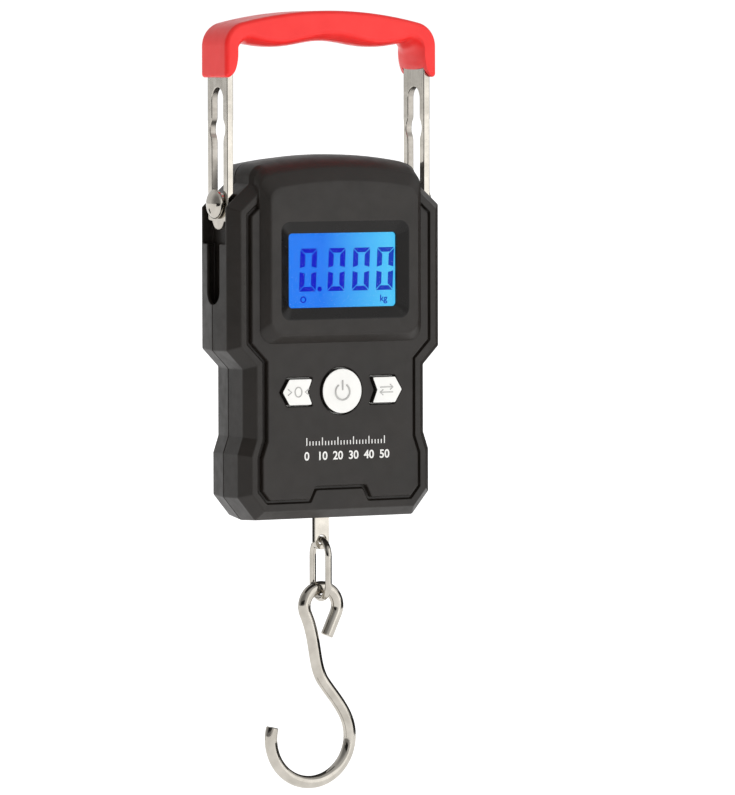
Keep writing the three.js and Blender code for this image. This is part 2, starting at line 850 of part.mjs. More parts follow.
// S-shaped cell: one slot from each side and two joined holes between them
function loadCell() {
  const depth = [-cellHalfDepth, cellHalfDepth];
  const middleZ = (cellBottomZ + cellTopZ) / 2;
  const slotReach = cellHalf - 4;
  return cut(
    block([-cellHalf, cellHalf], depth, [cellBottomZ, cellTopZ]),
    block([-reach, slotReach], [-reach, reach],
      [middleZ + loadSlotZ, middleZ + loadSlotZ + loadSlotWidth]),
    block([-slotReach, reach], [-reach, reach],
      [middleZ - loadSlotZ - loadSlotWidth, middleZ - loadSlotZ]),
    bar('y', loadHoleRadius, [-reach, reach], [-loadHoleX, middleZ]),
    bar('y', loadHoleRadius, [-reach, reach], [loadHoleX, middleZ]),
    block([-loadHoleX, loadHoleX], [-reach, reach], [middleZ - 0.6, middleZ + 0.6]),
    bar('z', boltRadius + 0.1, [cellTopZ - 5, overhead], [0, 0], 16),
    block([-strapHalf - 0.7, strapHalf + 0.7], [-strapThickness / 2 - fit, strapThickness / 2 + fit],
      [0, strapPinZ + 3]),
    bar('y', strapPinRadius + 0.1, [-reach, reach], [0, strapPinZ], 16),
  );
}

function hookStrap() {
  const half = strapThickness / 2;
  const strip = plate([
    ...arc(0, strapBottomZ + strapHalf, strapHalf, 180, 360, 10),
    point(strapHalf, strapPinZ + 2.5),
    point(-strapHalf, strapPinZ + 2.5),
  ], [-half, half]);
  return cut(
    strip,
    bar('y', strapHoleRadius, [-reach, reach], [0, strapHoleZ], 20),
    bar('y', strapPinRadius + 0.1, [-reach, reach], [0, strapPinZ], 16),
  );
}

// ---- Link and hook ----
const linkBottomZ = hookEyeTopZ - hookWire / 2 - linkWire / 2 - fit;

function chainLink() {
  const sides = 10;
  const tube = linkWire / 2;
  const topZ = strapHoleZ - linkHalf;
  const bottomZ = linkBottomZ + linkHalf;
  const ring = () => solidOf(new THREE.TorusGeometry(linkHalf, tube, sides, 28)
    .rotateY(Math.PI / 2));
  const above = block([-reach, reach], [-reach, reach], [0, reach]);
  const below = block([-reach, reach], [-reach, reach], [-reach, 0]);
  const leg = (y) => bar('z', tube, [bottomZ - 0.02, topZ + 0.02], [0, y], sides);
  return join(
    ring().intersect(above).translate([0, 0, topZ]),
    ring().intersect(below).translate([0, 0, bottomZ]),
    leg(linkHalf),
    leg(-linkHalf),
  );
}

class HookCentreline extends THREE.Curve {
  constructor() {
    super();
    const eyeZ = hookEyeTopZ - eyeRadius;
    const start = degrees(-eyeOpening);
    const end = degrees(180 + eyeOpening);
    const onEye = (angle, extra = 0) => point(
      eyeRadius * Math.cos(angle) - extra * Math.sin(angle),
      eyeZ + eyeRadius * Math.sin(angle) + extra * Math.cos(angle),
    );
    const tail = onEye(start, -7.4);
    const neckPull = onEye(end, 9);
    const bend = point(0.8, -51.9);
    const bendPull = point(0.57, -0.82);
    const bowlStart = degrees(14);
    const bowlTip = degrees(165);
    const bowl = point(
      bowlCentreX + bowlRadius * Math.cos(bowlStart),
      bowlCentreZ + bowlRadius * Math.sin(bowlStart),
    );
    const bowlPull = point(Math.sin(bowlStart), -Math.cos(bowlStart)).multiplyScalar(5.5);
    this.path = new THREE.Path();
    this.path.moveTo(tail.x, tail.y);
    this.path.absarc(0, eyeZ, eyeRadius, start, end, false);
    this.path.bezierCurveTo(neckPull.x, neckPull.y, bend.x - 6.3 * bendPull.x,
      bend.y - 6.3 * bendPull.y, bend.x, bend.y);
    this.path.bezierCurveTo(bend.x + 5 * bendPull.x, bend.y + 5 * bendPull.y,
      bowl.x - bowlPull.x, bowl.y - bowlPull.y, bowl.x, bowl.y);
    this.path.absarc(bowlCentreX, bowlCentreZ, bowlRadius, bowlStart, bowlTip, true);
  }

  getPoint(t) {
    const { x, y } = this.path.getPointAt(t);
    return new THREE.Vector3(x, 0, y);
  }
}

// ---- Cells, contacts and wiring ----
function dryCell(x) {
  const middle = [x, batteryY];
  const top = batteryBottomZ + cellLength;
  return join(
    bar('z', cellRadius, [batteryBottomZ, top - 0.8], middle),
    bar('z', 1.9, [top - 1, top], middle, 16),
  );
}

function contactPlate([x0, x1], z) {
  return block([x0, x1], [1, 10], [z, z + 0.4]);
}

function coilSpring(x, z0, z1) {
  const turns = 3;
  class Coil extends THREE.Curve {
    getPoint(t) {
      const angle = 2 * Math.PI * turns * t;
      const radius = 3.4 - 1.2 * t;
      return new THREE.Vector3(
        x + radius * Math.cos(angle),
        batteryY + radius * Math.sin(angle),
        z0 + (z1 - z0) * t,
      );
    }
  }
  return wire(new Coil(), 0.3, 36, 6);
}

function lead(points, radius) {
  const route = new THREE.CatmullRomCurve3(points.map((p) => new THREE.Vector3(...p)));
  return wire(route, radius, 16, 8);
}

// ---- Assembly ----
add('handle_bracket', handleBracket(), nickel);
add('handle_grip', handleGrip(), redPlastic);

add('front_cover', frontCover(), darkPlastic);
add('rear_cover', rearCover(), darkPlastic);
add('battery_cover', batteryCover(), darkPlastic);

add('display_window', displayWindow(), clear);
add('display_glass', block([-glassHalf, glassHalf], glassY, [glassBottomZ, glassTopZ]), blueGlass);
add('backlight_plate', block([-glassHalf, glassHalf], backlightY, [glassBottomZ + 4.5, glassTopZ]),
  whitePlastic);
add('connector_strip', block([-windowHalf, windowHalf], [backlightY[0], backlightY[1]],
  [glassBottomZ + 0.5, glassBottomZ + 3.5]), silicone);
add('display_frame', displayFrame(), whitePlastic);
add('circuit_board', circuitBoard(), boardGreen);
add('controller_chip', block([-14, -4], [boardRearY + seat, boardRearY + 1.2], [38, 48]),
  blackPlastic);

const arrowSwitchX = 15.5;
add('switch_power', tactileSwitch(0), blackPlastic);
add('switch_left', tactileSwitch(-arrowSwitchX), blackPlastic);
add('switch_right', tactileSwitch(arrowSwitchX), blackPlastic);
add('power_button', powerButton(), buttonPlastic);
add('left_button', arrowButton(-1), buttonPlastic);
add('right_button', arrowButton(1), buttonPlastic);

add('shoulder_screw_left', shoulderScrew(-1), nickel);
add('shoulder_screw_right', shoulderScrew(1), nickel);
add('load_yoke', loadYoke(), steel);
add('load_cell', loadCell(), aluminium);
const boltSeatZ = yokeFloorZ + yokeThickness + seat;
add('yoke_bolt', join(
  bar('z', boltHeadRadius, [boltSeatZ, boltSeatZ + boltHeadHeight], [0, 0], 6),
  bar('z', boltRadius, [cellTopZ - 4.5, boltSeatZ + 1], [0, 0], 16),
), steel);
add('strap_pin', bar('y', strapPinRadius, [-cellHalfDepth, cellHalfDepth], [0, strapPinZ], 16), steel);
add('hook_strap', hookStrap(), nickel);
add('gauge_sealant', block([-2.4, 2.4], [cellHalfDepth + seat, cellHalfDepth + 1.4], [76.5, 78.5]),
  silicone);
add('chain_link', chainLink(), nickel);
add('hook', wire(new HookCentreline(), hookWire / 2, 72, 12), nickel);

add('battery_left', dryCell(-batteryX), cellWrap);
add('battery_right', dryCell(batteryX), cellWrap);
const bayInner = batteryX - bayHalf;
const bayOuter = batteryX + bayHalf;
add('contact_top_left', contactPlate([-bayOuter + fit, -bayInner - fit], bayTopZ - 0.8), nickel);
add('contact_top_right', contactPlate([bayInner + fit, bayOuter - fit], bayTopZ - 0.8), nickel);
const springFootZ = bayBottomZ + 0.8;
[['left', -batteryX], ['right', batteryX]].forEach(([side, x]) => {
  add(`contact_bottom_${side}`, contactPlate([x - bayHalf + fit, x + bayHalf - fit],
    bayBottomZ + 0.1), nickel);
  add(`battery_spring_${side}`, coilSpring(x, springFootZ + 0.2, batteryBottomZ - 0.5), nickel);
});

add('sensor_cable', lead([[4, cellHalfDepth + 2.6, 77.5], [14, cellHalfDepth + 2.6, 76],
  [19, 3, 72], [20, -2, 70], [20, boardRearY + 1.2, 69.5]], 0.8), silicone);
add('battery_lead_left', lead([[-24, 6.5, 57], [-24.2, 4, 60], [-22, 0, 61],
  [-20.5, boardRearY + 1, 61]], 0.6), redWire);
add('battery_lead_right', lead([[24, 6.5, 57], [24.2, 4, 60], [22, 0, 61],
  [20.5, boardRearY + 1, 61]], 0.6), blackPlastic);

caseScrewPlaces.forEach(([x, z], i) => {
  add(`case_screw_${i + 1}`, join(
    bar('y', caseScrewRadius, [-8.5, 5], [x, z], 14),
    bar('y', caseScrewHead, [4 + seat, 5.8], [x, z], 14),
  ), steel);
});
boardScrewPlaces.forEach(([x, z], i) => {
  add(`board_screw_${i + 1}`, join(
    bar('y', boardScrewRadius, [-10, boardRearY + 0.5], [x, z], 12),
    bar('y', 1.9, [boardRearY + seat, boardRearY + 1.2], [x, z], 12),
  ), steel);
});

scale.position.z = -gripUndersideZ;

export default scale;
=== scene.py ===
"""Looks of the digital fish scale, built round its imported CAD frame.

Shapes are drawn in millimetres in the case's own frame: X across the case, Y from front to back
with zero where the two case halves meet, Z up from the case's lower edge. add_piece() turns them
into the frame's metres. The sizes are those of the CAD part, with finer curves and eased edges.
"""
import json
import math

import bmesh
import bpy
from mathutils import Matrix, Vector


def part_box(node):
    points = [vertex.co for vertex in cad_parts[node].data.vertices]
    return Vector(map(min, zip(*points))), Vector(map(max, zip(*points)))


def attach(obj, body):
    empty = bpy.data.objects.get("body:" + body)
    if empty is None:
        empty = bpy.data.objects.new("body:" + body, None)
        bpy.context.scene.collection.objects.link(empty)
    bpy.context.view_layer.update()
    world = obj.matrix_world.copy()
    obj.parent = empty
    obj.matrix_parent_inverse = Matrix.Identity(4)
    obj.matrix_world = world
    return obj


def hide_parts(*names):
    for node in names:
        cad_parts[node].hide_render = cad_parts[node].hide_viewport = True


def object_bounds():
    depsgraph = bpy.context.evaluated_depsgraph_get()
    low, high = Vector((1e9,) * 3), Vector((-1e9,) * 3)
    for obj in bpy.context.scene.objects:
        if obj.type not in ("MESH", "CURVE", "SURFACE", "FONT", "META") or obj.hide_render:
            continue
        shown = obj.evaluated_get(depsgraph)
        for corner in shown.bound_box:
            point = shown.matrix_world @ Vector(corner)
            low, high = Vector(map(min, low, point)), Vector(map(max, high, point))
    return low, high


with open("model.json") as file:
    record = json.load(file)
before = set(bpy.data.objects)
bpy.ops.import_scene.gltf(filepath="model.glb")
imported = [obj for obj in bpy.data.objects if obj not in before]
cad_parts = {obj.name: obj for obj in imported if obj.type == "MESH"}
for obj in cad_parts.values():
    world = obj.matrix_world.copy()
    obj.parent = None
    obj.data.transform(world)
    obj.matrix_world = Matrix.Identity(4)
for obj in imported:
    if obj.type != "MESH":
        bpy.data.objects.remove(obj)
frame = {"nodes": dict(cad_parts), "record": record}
cad_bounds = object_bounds()

MM = 0.001
DRAFT = 0.4  # how far the case swells from its front edge to its seam
CASE_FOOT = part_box("front_cover")[0].z + DRAFT * MM
body_of_node = {
    node: body
    for body, nodes in frame["record"]["behaviour"]["bodies"].items()
    for node in nodes
}


def box_mm(node):
    """Lowest and highest corner of a CAD node in millimetres, in the case's own frame."""
    foot = Vector((0, 0, CASE_FOOT))
    low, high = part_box(node)
    return (low - foot) / MM, (high - foot) / MM


# ---- Sizes, as in the CAD part ----
FIT = 0.3  # gap round a piece that another piece holds
SEAT = 0.1  # gap under a piece that rests on another
FAR = 60  # past the case on every side
ABOVE = 200  # higher than any piece

CASE_HEIGHT = 112.8
UPPER_HALF = 37.5
CASE_FLANK = [
    (27.9, 0), (33.8, 7.1), (33.8, 20.5), (32, 25.8), (32, 46.9), (UPPER_HALF, 52.6),
    (UPPER_HALF, 96.9), (29.5, 104),
]
CAP_HALF = 29.5
CAP_CORNER = 4.5
ARCH_RADIUS = 140
HALF_DEPTH = 12.6
BEVEL = 3
BEVEL_DEPTH = 3.9
SEAM = 0.1  # half the gap between the two case halves
WALL = 2.4
CAVITY_FRONT_Y = -9.2
REAR_INSET = 0.6
REAR_BEVEL = 3.2
REAR_BEVEL_Y = 8.7

GROOVE_OUTER_INSET = 5.1
PANEL_INSET = 6.3
GROOVE_DEPTH = 0.9
PANEL_Y = -13.6
PANEL_WALL = 2
TAB_TOP_HALF = 9
TAB_BOTTOM_HALF = 10.9
TAB_TOP_Z = 10.2

HOOD_Y = box_mm("front_cover")[0].y
HOOD_FACE_HALF = 26
HOOD_SPREAD = 2.6  # how much further the hood's foot reaches to the sides than its face
HOOD_FACE_BOTTOM_Z = 57.3
HOOD_CORNER = 4.5
ROLL_BACK_Y = -4.6
ROLL_START_Z = 102
WINDOW_HALF = 19
WINDOW_Z = (65.6, 88.6)
BEZEL_BORDER = 3.4
WINDOW_Y = -14.9
HOOD_WALL = 0.8
LENS_FLANGE = 0.6

STRIP_THICKNESS = 2.2
STRIP_HALF_WIDTH = 6.5
BRACKET_HALF = 35.9
BRACKET_TOP_Z = 152.8
BRACKET_BEND = 9
ARM_TIP_Z = 89.7
TIP_HALF = 3.9
SLOT_HALF = 3.7
SLOT_TOP_Z = 133.6
SLOT_WIDE_HALF = 4.9
SLOT_WIDE_Z = 120.7
SLOT_WIDE_REACH = 4.2

GRIP_HALF = 37.2
GRIP_HALF_DEPTH = 8.6
GRIP_TOP_Z = 157.3
GRIP_ARCH_RADIUS = 135
GRIP_CORNER = 7.5
GRIP_INNER_CORNER = 4.5
GRIP_FOOT_Z = 136.7
GRIP_UNDERSIDE_Z = 148
GRIP_WAVE = 35.8  # from one finger hollow's middle to the next
LEG_INNER = 32.2
FOOT_CORNER = 0.9
FINGER_DEPTH = (0.95, 1.45)  # in the middle of the grip's depth, and at its front and back
GRIP_CROWN = 2.4
LEG_CROWN = 0.8
FOOT_TIP = 1.3
FOOT_SWEEP = 6.3  # height over which a leg's inner wall curves out to the foot's tip

SCREW_Z = 97.7
SHANK_RADIUS = 3.4
HEAD_RADIUS = 4.6
HEAD_RISE = 2.6
CHANNEL_INNER = 33.3
CHANNEL_OUTER = 36.3
CHANNEL_HALF_WIDTH = 6.9
CHANNEL_BOTTOM_Z = 55.6
NOTCH_BOTTOM_Z = 85.4
NOTCH_HALF_WIDTH = 7.9
SIDE_SLOT_HALF = 4.3
SIDE_SLOT_BOTTOM_Z = 66.6
YOKE_OUTER = 31.2
YOKE_THICKNESS = 2.6
YOKE_HALF_DEPTH = 4.6
YOKE_FLOOR_Z = 86.4
YOKE_TOP_Z = SCREW_Z + 3

BUTTON_Z = 39.6
BUTTON_FACE_Y = -14.6
BUTTON_GAP = 0.5
BUTTON_FLANGE = 1.4
FLANGE_FRONT_Y = PANEL_Y + PANEL_WALL + FIT
FLANGE_STEPS_Y = (FLANGE_FRONT_Y, FLANGE_FRONT_Y + 0.02, FLANGE_FRONT_Y + 1)
POWER_RADIUS = 6.9
ARROW_TIP = 21.1
ARROW_SHOULDER = 18.7
ARROW_BACK = 10.7
ARROW_NOTCH = 12.3
ARROW_HALF_HEIGHT = 4

BOARD_FRONT_Y = -7
STRAP_HALF = 2.5
STRAP_THICKNESS = 2
STRAP_HOLE_Z = -7.5
STRAP_HOLE_RADIUS = 1.5
STRAP_BOTTOM_Z = -10.6
STRAP_PIN_Z = 65.5
STRAP_GAP = 0.8

LINK_WIRE = 2.1
LINK_HALF = 5.1
HOOK_WIRE = 4
HOOK_EYE_TOP_Z = -22.5
EYE_RADIUS = 5.85
EYE_OPENING = 25
BOWL_CENTRE = (-3.8, -69.4)
BOWL_RADIUS = 14

CELL_RADIUS = 5.25
CELL_LENGTH = 44.5
BATTERY_X = 15.2
BATTERY_Y = 5.45
BATTERY_BOTTOM_Z = 11
BAY_HALF = 5.6
BAY_WALL = 1.2
BAY_Z = (7.4, 57.4)
COVER_HALF = 23.4
COVER_Z = (5.6, 59)
COVER_THICKNESS = 1.6

CASE_SCREW_PLACES = [(-27.2, 13), (27.2, 13), (-27.2, 78), (27.2, 78)]
BOARD_SCREW_PLACES = [(-20.6, 28), (20.6, 28), (-20.6, 56.6), (20.6, 56.6)]
CASE_SCREW_RADIUS = 1.3
CASE_SCREW_HEAD = 2.6
BOSS_RADIUS = 3
BOARD_SCREW_RADIUS = 1
BOARD_SCREW_HEAD = 1.9
BOARD_BOSS_RADIUS = 2.4

EDGE = 0.35  # how far a moulded edge is rounded
SMOOTH_ANGLE = 34  # edges that turn by fewer degrees are shaded smoothly


def spaced(start, end, steps):
    """Evenly spaced values, start and end among them."""
    return [start + (end - start) * i / steps for i in range(steps + 1)]


def spaced_turns(start, end, steps):
    """The same for angles: takes degrees and gives radians."""
    return [math.radians(degrees) for degrees in spaced(start, end, steps)]


# ---- Outlines: lists of 2-D points, anticlockwise seen from the front ----
def arc(centre_x, centre_z, radius, start, end, steps):
    points = []
    for turn in spaced_turns(start, end, steps):
        points.append(Vector((centre_x + radius * math.cos(turn), centre_z + radius * math.sin(turn))))
    return points


def circle(centre_x, centre_z, radius, sides):
    return arc(centre_x, centre_z, radius, 0, 360, sides)[:-1]


def bezier(start, pull_start, pull_end, end, steps):
    points = []
    for t in spaced(0, 1, steps):
        s = 1 - t
        points.append(s**3 * start + 3 * s * s * t * pull_start + 3 * s * t * t * pull_end + t**3 * end)
    return points


def vectors(places):
    return [Vector(place) for place in places]


def mirrored(right_half):
    """A right-hand half, bottom to top, with its mirror image."""
    left = [Vector((-p.x, p.y)) for p in right_half if p.x > 0.001]
    return list(right_half) + left[::-1]


def inset(points, distance):
    """Every edge moved inwards by one distance; a negative distance moves them outwards."""

    def inward(a, b):
        return Vector((a.y - b.y, b.x - a.x)).normalized()

    moved = []
    for i, p in enumerate(points):
        before = inward(points[i - 1], p)
        after = inward(p, points[(i + 1) % len(points)])
        mitre = (before + after) / (1 + before.dot(after))
        moved.append(p + distance * mitre)
    return moved


def turn_at(points, i):
    return math.pi - (points[i - 1] - points[i]).angle(points[(i + 1) % len(points)] - points[i])


def rounded(points, radius, steps=4, closed=True, like=None):
    """The outline with its corners eased into curves. A corner is a point where the outline, or
    the similar one given as like, turns by more than 18 degrees."""
    least_turn = math.radians(18)
    eased = []
    for i, corner in enumerate(points):
        before = points[i - 1] - corner
        after = points[(i + 1) % len(points)] - corner
        turn = turn_at(points, i)
        if turn_at(like or points, i) < least_turn or (not closed and i in (0, len(points) - 1)):
            eased.append(corner.copy())
            continue
        room = 0.45 * min(before.length, after.length)
        cut_back = min(radius * math.tan(turn / 2), room)
        start = corner + before.normalized() * cut_back
        end = corner + after.normalized() * cut_back
        for t in spaced(0, 1, steps):
            eased.append(start.lerp(corner, t).lerp(corner.lerp(end, t), t))
    return eased


def rounded_box(half, bottom, top, radius, steps=8):
    return [
        *arc(half - radius, bottom + radius, radius, -90, 0, steps),
        *arc(half - radius, top - radius, radius, 0, 90, steps),
        *arc(radius - half, top - radius, radius, 90, 180, steps),
        *arc(radius - half, bottom + radius, radius, 180, 270, steps),
    ]


def rectangle(low_x, high_x, low_z, high_z):
    corners = [(low_x, low_z), (high_x, low_z), (high_x, high_z), (low_x, high_z)]
    return vectors(corners)


def arched_top(half, top, corner, radius=ARCH_RADIUS, steps=10):
    """The arched top from the right side up to the middle."""
    centre = top - radius
    corner_x = half - corner
    corner_z = centre + math.sqrt((radius - corner) ** 2 - corner_x**2)
    join = math.degrees(math.atan2(corner_z - centre, corner_x))
    return arc(corner_x, corner_z, corner, 0, join, steps) + arc(0, centre, radius, join, 90, steps)[1:]


def case_outline(shrink=0.0, top=CASE_HEIGHT, corner=0.9):
    def sharp(height):
        return mirrored(vectors(CASE_FLANK) + arched_top(CAP_HALF, height, CAP_CORNER)[1:])

    return rounded(inset(sharp(top), shrink), corner, like=sharp(CASE_HEIGHT))


def panel_outline(grow=0.0):
    flank = inset(mirrored(vectors(CASE_FLANK)), PANEL_INSET)
    bottom_z = flank[0].y
    tab = [(-TAB_BOTTOM_HALF, bottom_z), (-TAB_TOP_HALF, TAB_TOP_Z)]
    tab += [(TAB_TOP_HALF, TAB_TOP_Z), (TAB_BOTTOM_HALF, bottom_z)]
    return inset(flank + vectors(tab), -grow)


def hood_outline(half, bottom, top):
    lower = arc(half - HOOD_CORNER, bottom + HOOD_CORNER, HOOD_CORNER, -90, 0, 10)
    return mirrored(lower + arched_top(half, top, CAP_CORNER))


def arrow_outline(side):
    right = [
        (ARROW_BACK, BUTTON_Z - ARROW_HALF_HEIGHT),
        (ARROW_SHOULDER, BUTTON_Z - ARROW_HALF_HEIGHT),
        (ARROW_TIP, BUTTON_Z),
        (ARROW_SHOULDER, BUTTON_Z + ARROW_HALF_HEIGHT),
        (ARROW_BACK, BUTTON_Z + ARROW_HALF_HEIGHT),
        (ARROW_NOTCH, BUTTON_Z),
    ]
    if side > 0:
        return vectors(right)
    return [Vector((-x, z)) for x, z in right][::-1]


def new_object(name, data):
    made = bpy.data.objects.new(name, data)
    bpy.context.scene.collection.objects.link(made)
    return made


# ---- Solids: meshes in millimetres ----
def loft(rings, closed=False):
    """A closed skin through rings with the same number of (x, y, z) points."""
    bm = bmesh.new()
    loops = [[bm.verts.new(p) for p in ring] for ring in rings]
    pairs = list(zip(loops, loops[1:]))
    if closed:
        pairs.append((loops[-1], loops[0]))
    else:
        caps = [bm.faces.new(loops[0][::-1]), bm.faces.new(loops[-1])]
        bm.normal_update()
        bmesh.ops.triangulate(bm, faces=caps, ngon_method="EAR_CLIP")
    for a, b in pairs:
        for i in range(len(a)):
            j = (i + 1) % len(a)
            bm.faces.new((a[i], a[j], b[j], b[i]))
    bmesh.ops.recalc_face_normals(bm, faces=bm.faces)
    mesh = bpy.data.meshes.new("solid")
    bm.to_mesh(mesh)
    bm.free()
    return mesh


def layers(sections):
    """A skin through outlines, each given with its place along Y."""
    return loft([[(p.x, y, p.y) for p in points] for y, points in sections])


def quarter_round(edge, steps=4):
    """Steps of a rounded edge, as (how far in along the face, how far back from it)."""
    turns = spaced_turns(0, 90, steps)
    return [(edge * (1 - math.sin(turn)), edge * (1 - math.cos(turn))) for turn in turns]


def plate(outline, y_front, y_back, front_edge=0.0, back_edge=0.0):
    """An outline with thickness, its front and back edges rounded by the given amounts."""
    front = quarter_round(front_edge) if front_edge else [(0, 0)]
    back = quarter_round(back_edge) if back_edge else [(0, 0)]
    sections = [(y_front + deep, inset(outline, aside)) for aside, deep in front]
    sections += [(y_back - deep, inset(outline, aside)) for aside, deep in reversed(back)]
    return layers(sections)


def block(x, y, z):
    return plate(rectangle(*x, *z), *y)


def lathe(axis, centre, profile, sides=48):
    """A turned solid; the profile gives the radius at places along the axis."""
    rings = []
    for along, radius in profile:
        ring = []
        for i in range(sides):
            angle = 2 * math.pi * (i + 0.5) / sides
            u = centre[0] + radius * math.cos(angle)
            v = centre[1] + radius * math.sin(angle)
            ring.append({"x": (along, u, v), "y": (u, along, v), "z": (u, v, along)}[axis])
        rings.append(ring)
    return loft(rings)


def bar(axis, radius, start, end, centre, sides=48):
    return lathe(axis, centre, [(start, radius), (end, radius)], sides)


def side_plate(outline, x0, x1):
    """An outline drawn in Y and Z, given thickness along X."""
    return loft([[(x, p.x, p.y) for p in outline] for x in (x0, x1)])


def tube(path, radius, sides=20, edge=0.25, closed=False):
    """A round wire along 3-D points; the edges of its cut ends are eased."""
    path = vectors(path)
    count = len(path)
    tangents = []
    for i in range(count):
        ahead = path[(i + 1) % count] if closed or i < count - 1 else path[i]
        behind = path[i - 1] if closed or i > 0 else path[i]
        tangents.append((ahead - behind).normalized())
    seed = Vector((0, 1, 0)) if abs(tangents[0].y) < 0.9 else Vector((1, 0, 0))
    across = (seed - seed.dot(tangents[0]) * tangents[0]).normalized()
    stations = []
    for place, tangent in zip(path, tangents):
        across = (across - across.dot(tangent) * tangent).normalized()
        stations.append((place, across.copy(), tangent.cross(across), radius))
    if not closed:
        first = (path[0] - tangents[0] * edge, *stations[0][1:3], radius - edge)
        last = (path[-1] + tangents[-1] * edge, *stations[-1][1:3], radius - edge)
        stations = [first, *stations, last]
    rings = []
    for place, u, v, r in stations:
        angles = [2 * math.pi * i / sides for i in range(sides)]
        rings.append([place + u * (r * math.cos(a)) + v * (r * math.sin(a)) for a in angles])
    return loft(rings, closed)


def combined(base, operation, others):
    """The base mesh with others joined to it (UNION), cut from it (DIFFERENCE) or in common."""
    holder = new_object("holder", base)
    tools = [new_object("tool", other) for other in others]
    for tool in tools:
        step = holder.modifiers.new("step", "BOOLEAN")
        step.operation = operation
        step.solver = "MANIFOLD"
        step.object = tool
    bpy.context.view_layer.update()
    seen = holder.evaluated_get(bpy.context.evaluated_depsgraph_get())
    result = bpy.data.meshes.new_from_object(seen)
    for thing in [holder, *tools]:
        bpy.data.objects.remove(thing)
    return result


def joined(base, *others):
    return combined(base, "UNION", others)


def cut(base, *others):
    return combined(base, "DIFFERENCE", others)


def common(base, *others):
    return combined(base, "INTERSECT", others)


def softened(mesh, width, segments=2, least_turn=28, where=None):
    """The mesh with its sharp edges rounded, all of them or those that a place test accepts."""
    bm = bmesh.new()
    bm.from_mesh(mesh)
    bmesh.ops.remove_doubles(bm, verts=bm.verts, dist=0.003)
    bmesh.ops.dissolve_degenerate(bm, edges=bm.edges, dist=0.003)
    bmesh.ops.dissolve_limit(
        bm, angle_limit=math.radians(0.6), verts=bm.verts, edges=bm.edges, use_dissolve_boundaries=False
    )
    sharp = []
    for edge in bm.edges:
        if not edge.is_manifold or edge.calc_face_angle() < math.radians(least_turn):
            continue
        middle = (edge.verts[0].co + edge.verts[1].co) / 2
        if where is None or where(middle):
            sharp.append(edge)
    bmesh.ops.bevel(
        bm, geom=sharp, offset=width, offset_type="OFFSET", segments=segments, profile=0.5,
        affect="EDGES", clamp_overlap=False, loop_slide=True,
    )
    bmesh.ops.remove_doubles(bm, verts=bm.verts, dist=0.001)
    result = bpy.data.meshes.new("softened")
    bm.to_mesh(result)
    bm.free()
    return result


def both_sides(make):
    return joined(make(1), make(-1))


def span(side, inner, outer):
    return (inner, outer) if side > 0 else (-outer, -inner)


# ---- Materials ----
def srgb(red, green, blue):
    """A colour as seen on screen, from 0 to 255, in the shader's linear values."""
    shares = [value / 255 for value in (red, green, blue)]
    return (*[((s + 0.055) / 1.055) ** 2.4 if s > 0.0404 else s / 12.92 for s in shares], 1.0)


COLOUR_A, COLOUR_B, COLOUR_RESULT = 6, 7, 2  # the mix node's sockets for colours


class Finish:
    """A node material whose colour, roughness and relief all vary a little over the surface."""

    def __init__(self, name):
        self.material = bpy.data.materials.new(name)
        self.material.use_nodes = True
        self.tree = self.material.node_tree
        self.shader = self.tree.nodes["Principled BSDF"]
        self.place = self.tree.nodes.new("ShaderNodeTexCoord").outputs["Object"]

    def node(self, kind, **sockets):
        made = self.tree.nodes.new(kind)
        for key, value in sockets.items():
            self.feed(made.inputs[key.replace("_", " ")], value)
        return made

    def feed(self, socket, value):
        if isinstance(value, bpy.types.NodeSocket):
            self.tree.links.new(value, socket)
        else:
            socket.default_value = value

    def noise(self, size_mm, detail=3.0, stretch=(1, 1, 1)):
        """Noise with features of about that size; stretch lengthens them along an axis."""
        mapping = self.node("ShaderNodeMapping", Vector=self.place)
        mapping.inputs["Scale"].default_value = [1 / (size_mm * MM * s) for s in stretch]
        return self.node(
            "ShaderNodeTexNoise", Vector=mapping.outputs["Vector"], Scale=1.0, Detail=detail
        ).outputs["Fac"]

    def ramp(self, factor, low, high, start=0.3, end=0.7):
        """A smooth change from low to high, numbers or colours, as the factor goes from start to end."""
        if isinstance(low, tuple):
            share = self.ramp(factor, 0.0, 1.0, start, end)
            mix = self.tree.nodes.new("ShaderNodeMix")
            mix.data_type = "RGBA"
            self.feed(mix.inputs["Factor"], share)
            mix.inputs[COLOUR_A].default_value = low
            mix.inputs[COLOUR_B].default_value = high
            return mix.outputs[COLOUR_RESULT]
        spread = self.node(
            "ShaderNodeMapRange", Value=factor, From_Min=start, From_Max=end, To_Min=low, To_Max=high
        )
        return spread.outputs["Result"]

    def colour(self, low, high, size_mm, stretch=(1, 1, 1)):
        self.feed(self.shader.inputs["Base Color"], self.ramp(self.noise(size_mm, 3, stretch), low, high))

    def roughness(self, low, high, size_mm, stretch=(1, 1, 1)):
        self.feed(self.shader.inputs["Roughness"], self.ramp(self.noise(size_mm, 4, stretch), low, high))

    def relief(self, size_mm, height_mm, detail=2.0, stretch=(1, 1, 1)):
        """Small bumps; called again, it lays another scale of bumps over the first."""
        bump = self.node("ShaderNodeBump", Height=self.noise(size_mm, detail, stretch), Strength=1.0)
        bump.inputs["Distance"].default_value = height_mm * MM
        normal = self.shader.inputs["Normal"]
        if normal.is_linked:
            self.feed(bump.inputs["Normal"], normal.links[0].from_socket)
        self.feed(normal, bump.outputs["Normal"])

    def set(self, **sockets):
        for key, value in sockets.items():
            self.shader.inputs[key.replace("_", " ")].default_value = value
        return self


def moulded(name, low, high, rough, grain_mm, grain_height_mm):
    """Injection-moulded plastic: a fine spark-eroded texture and faint flow marks."""
    finish = Finish(name)
    finish.colour(low, high, 9)
    finish.roughness(rough - 0.05, rough + 0.06, 3)
    finish.relief(grain_mm, grain_height_mm)
    finish.relief(14, 0.02)
    return finish


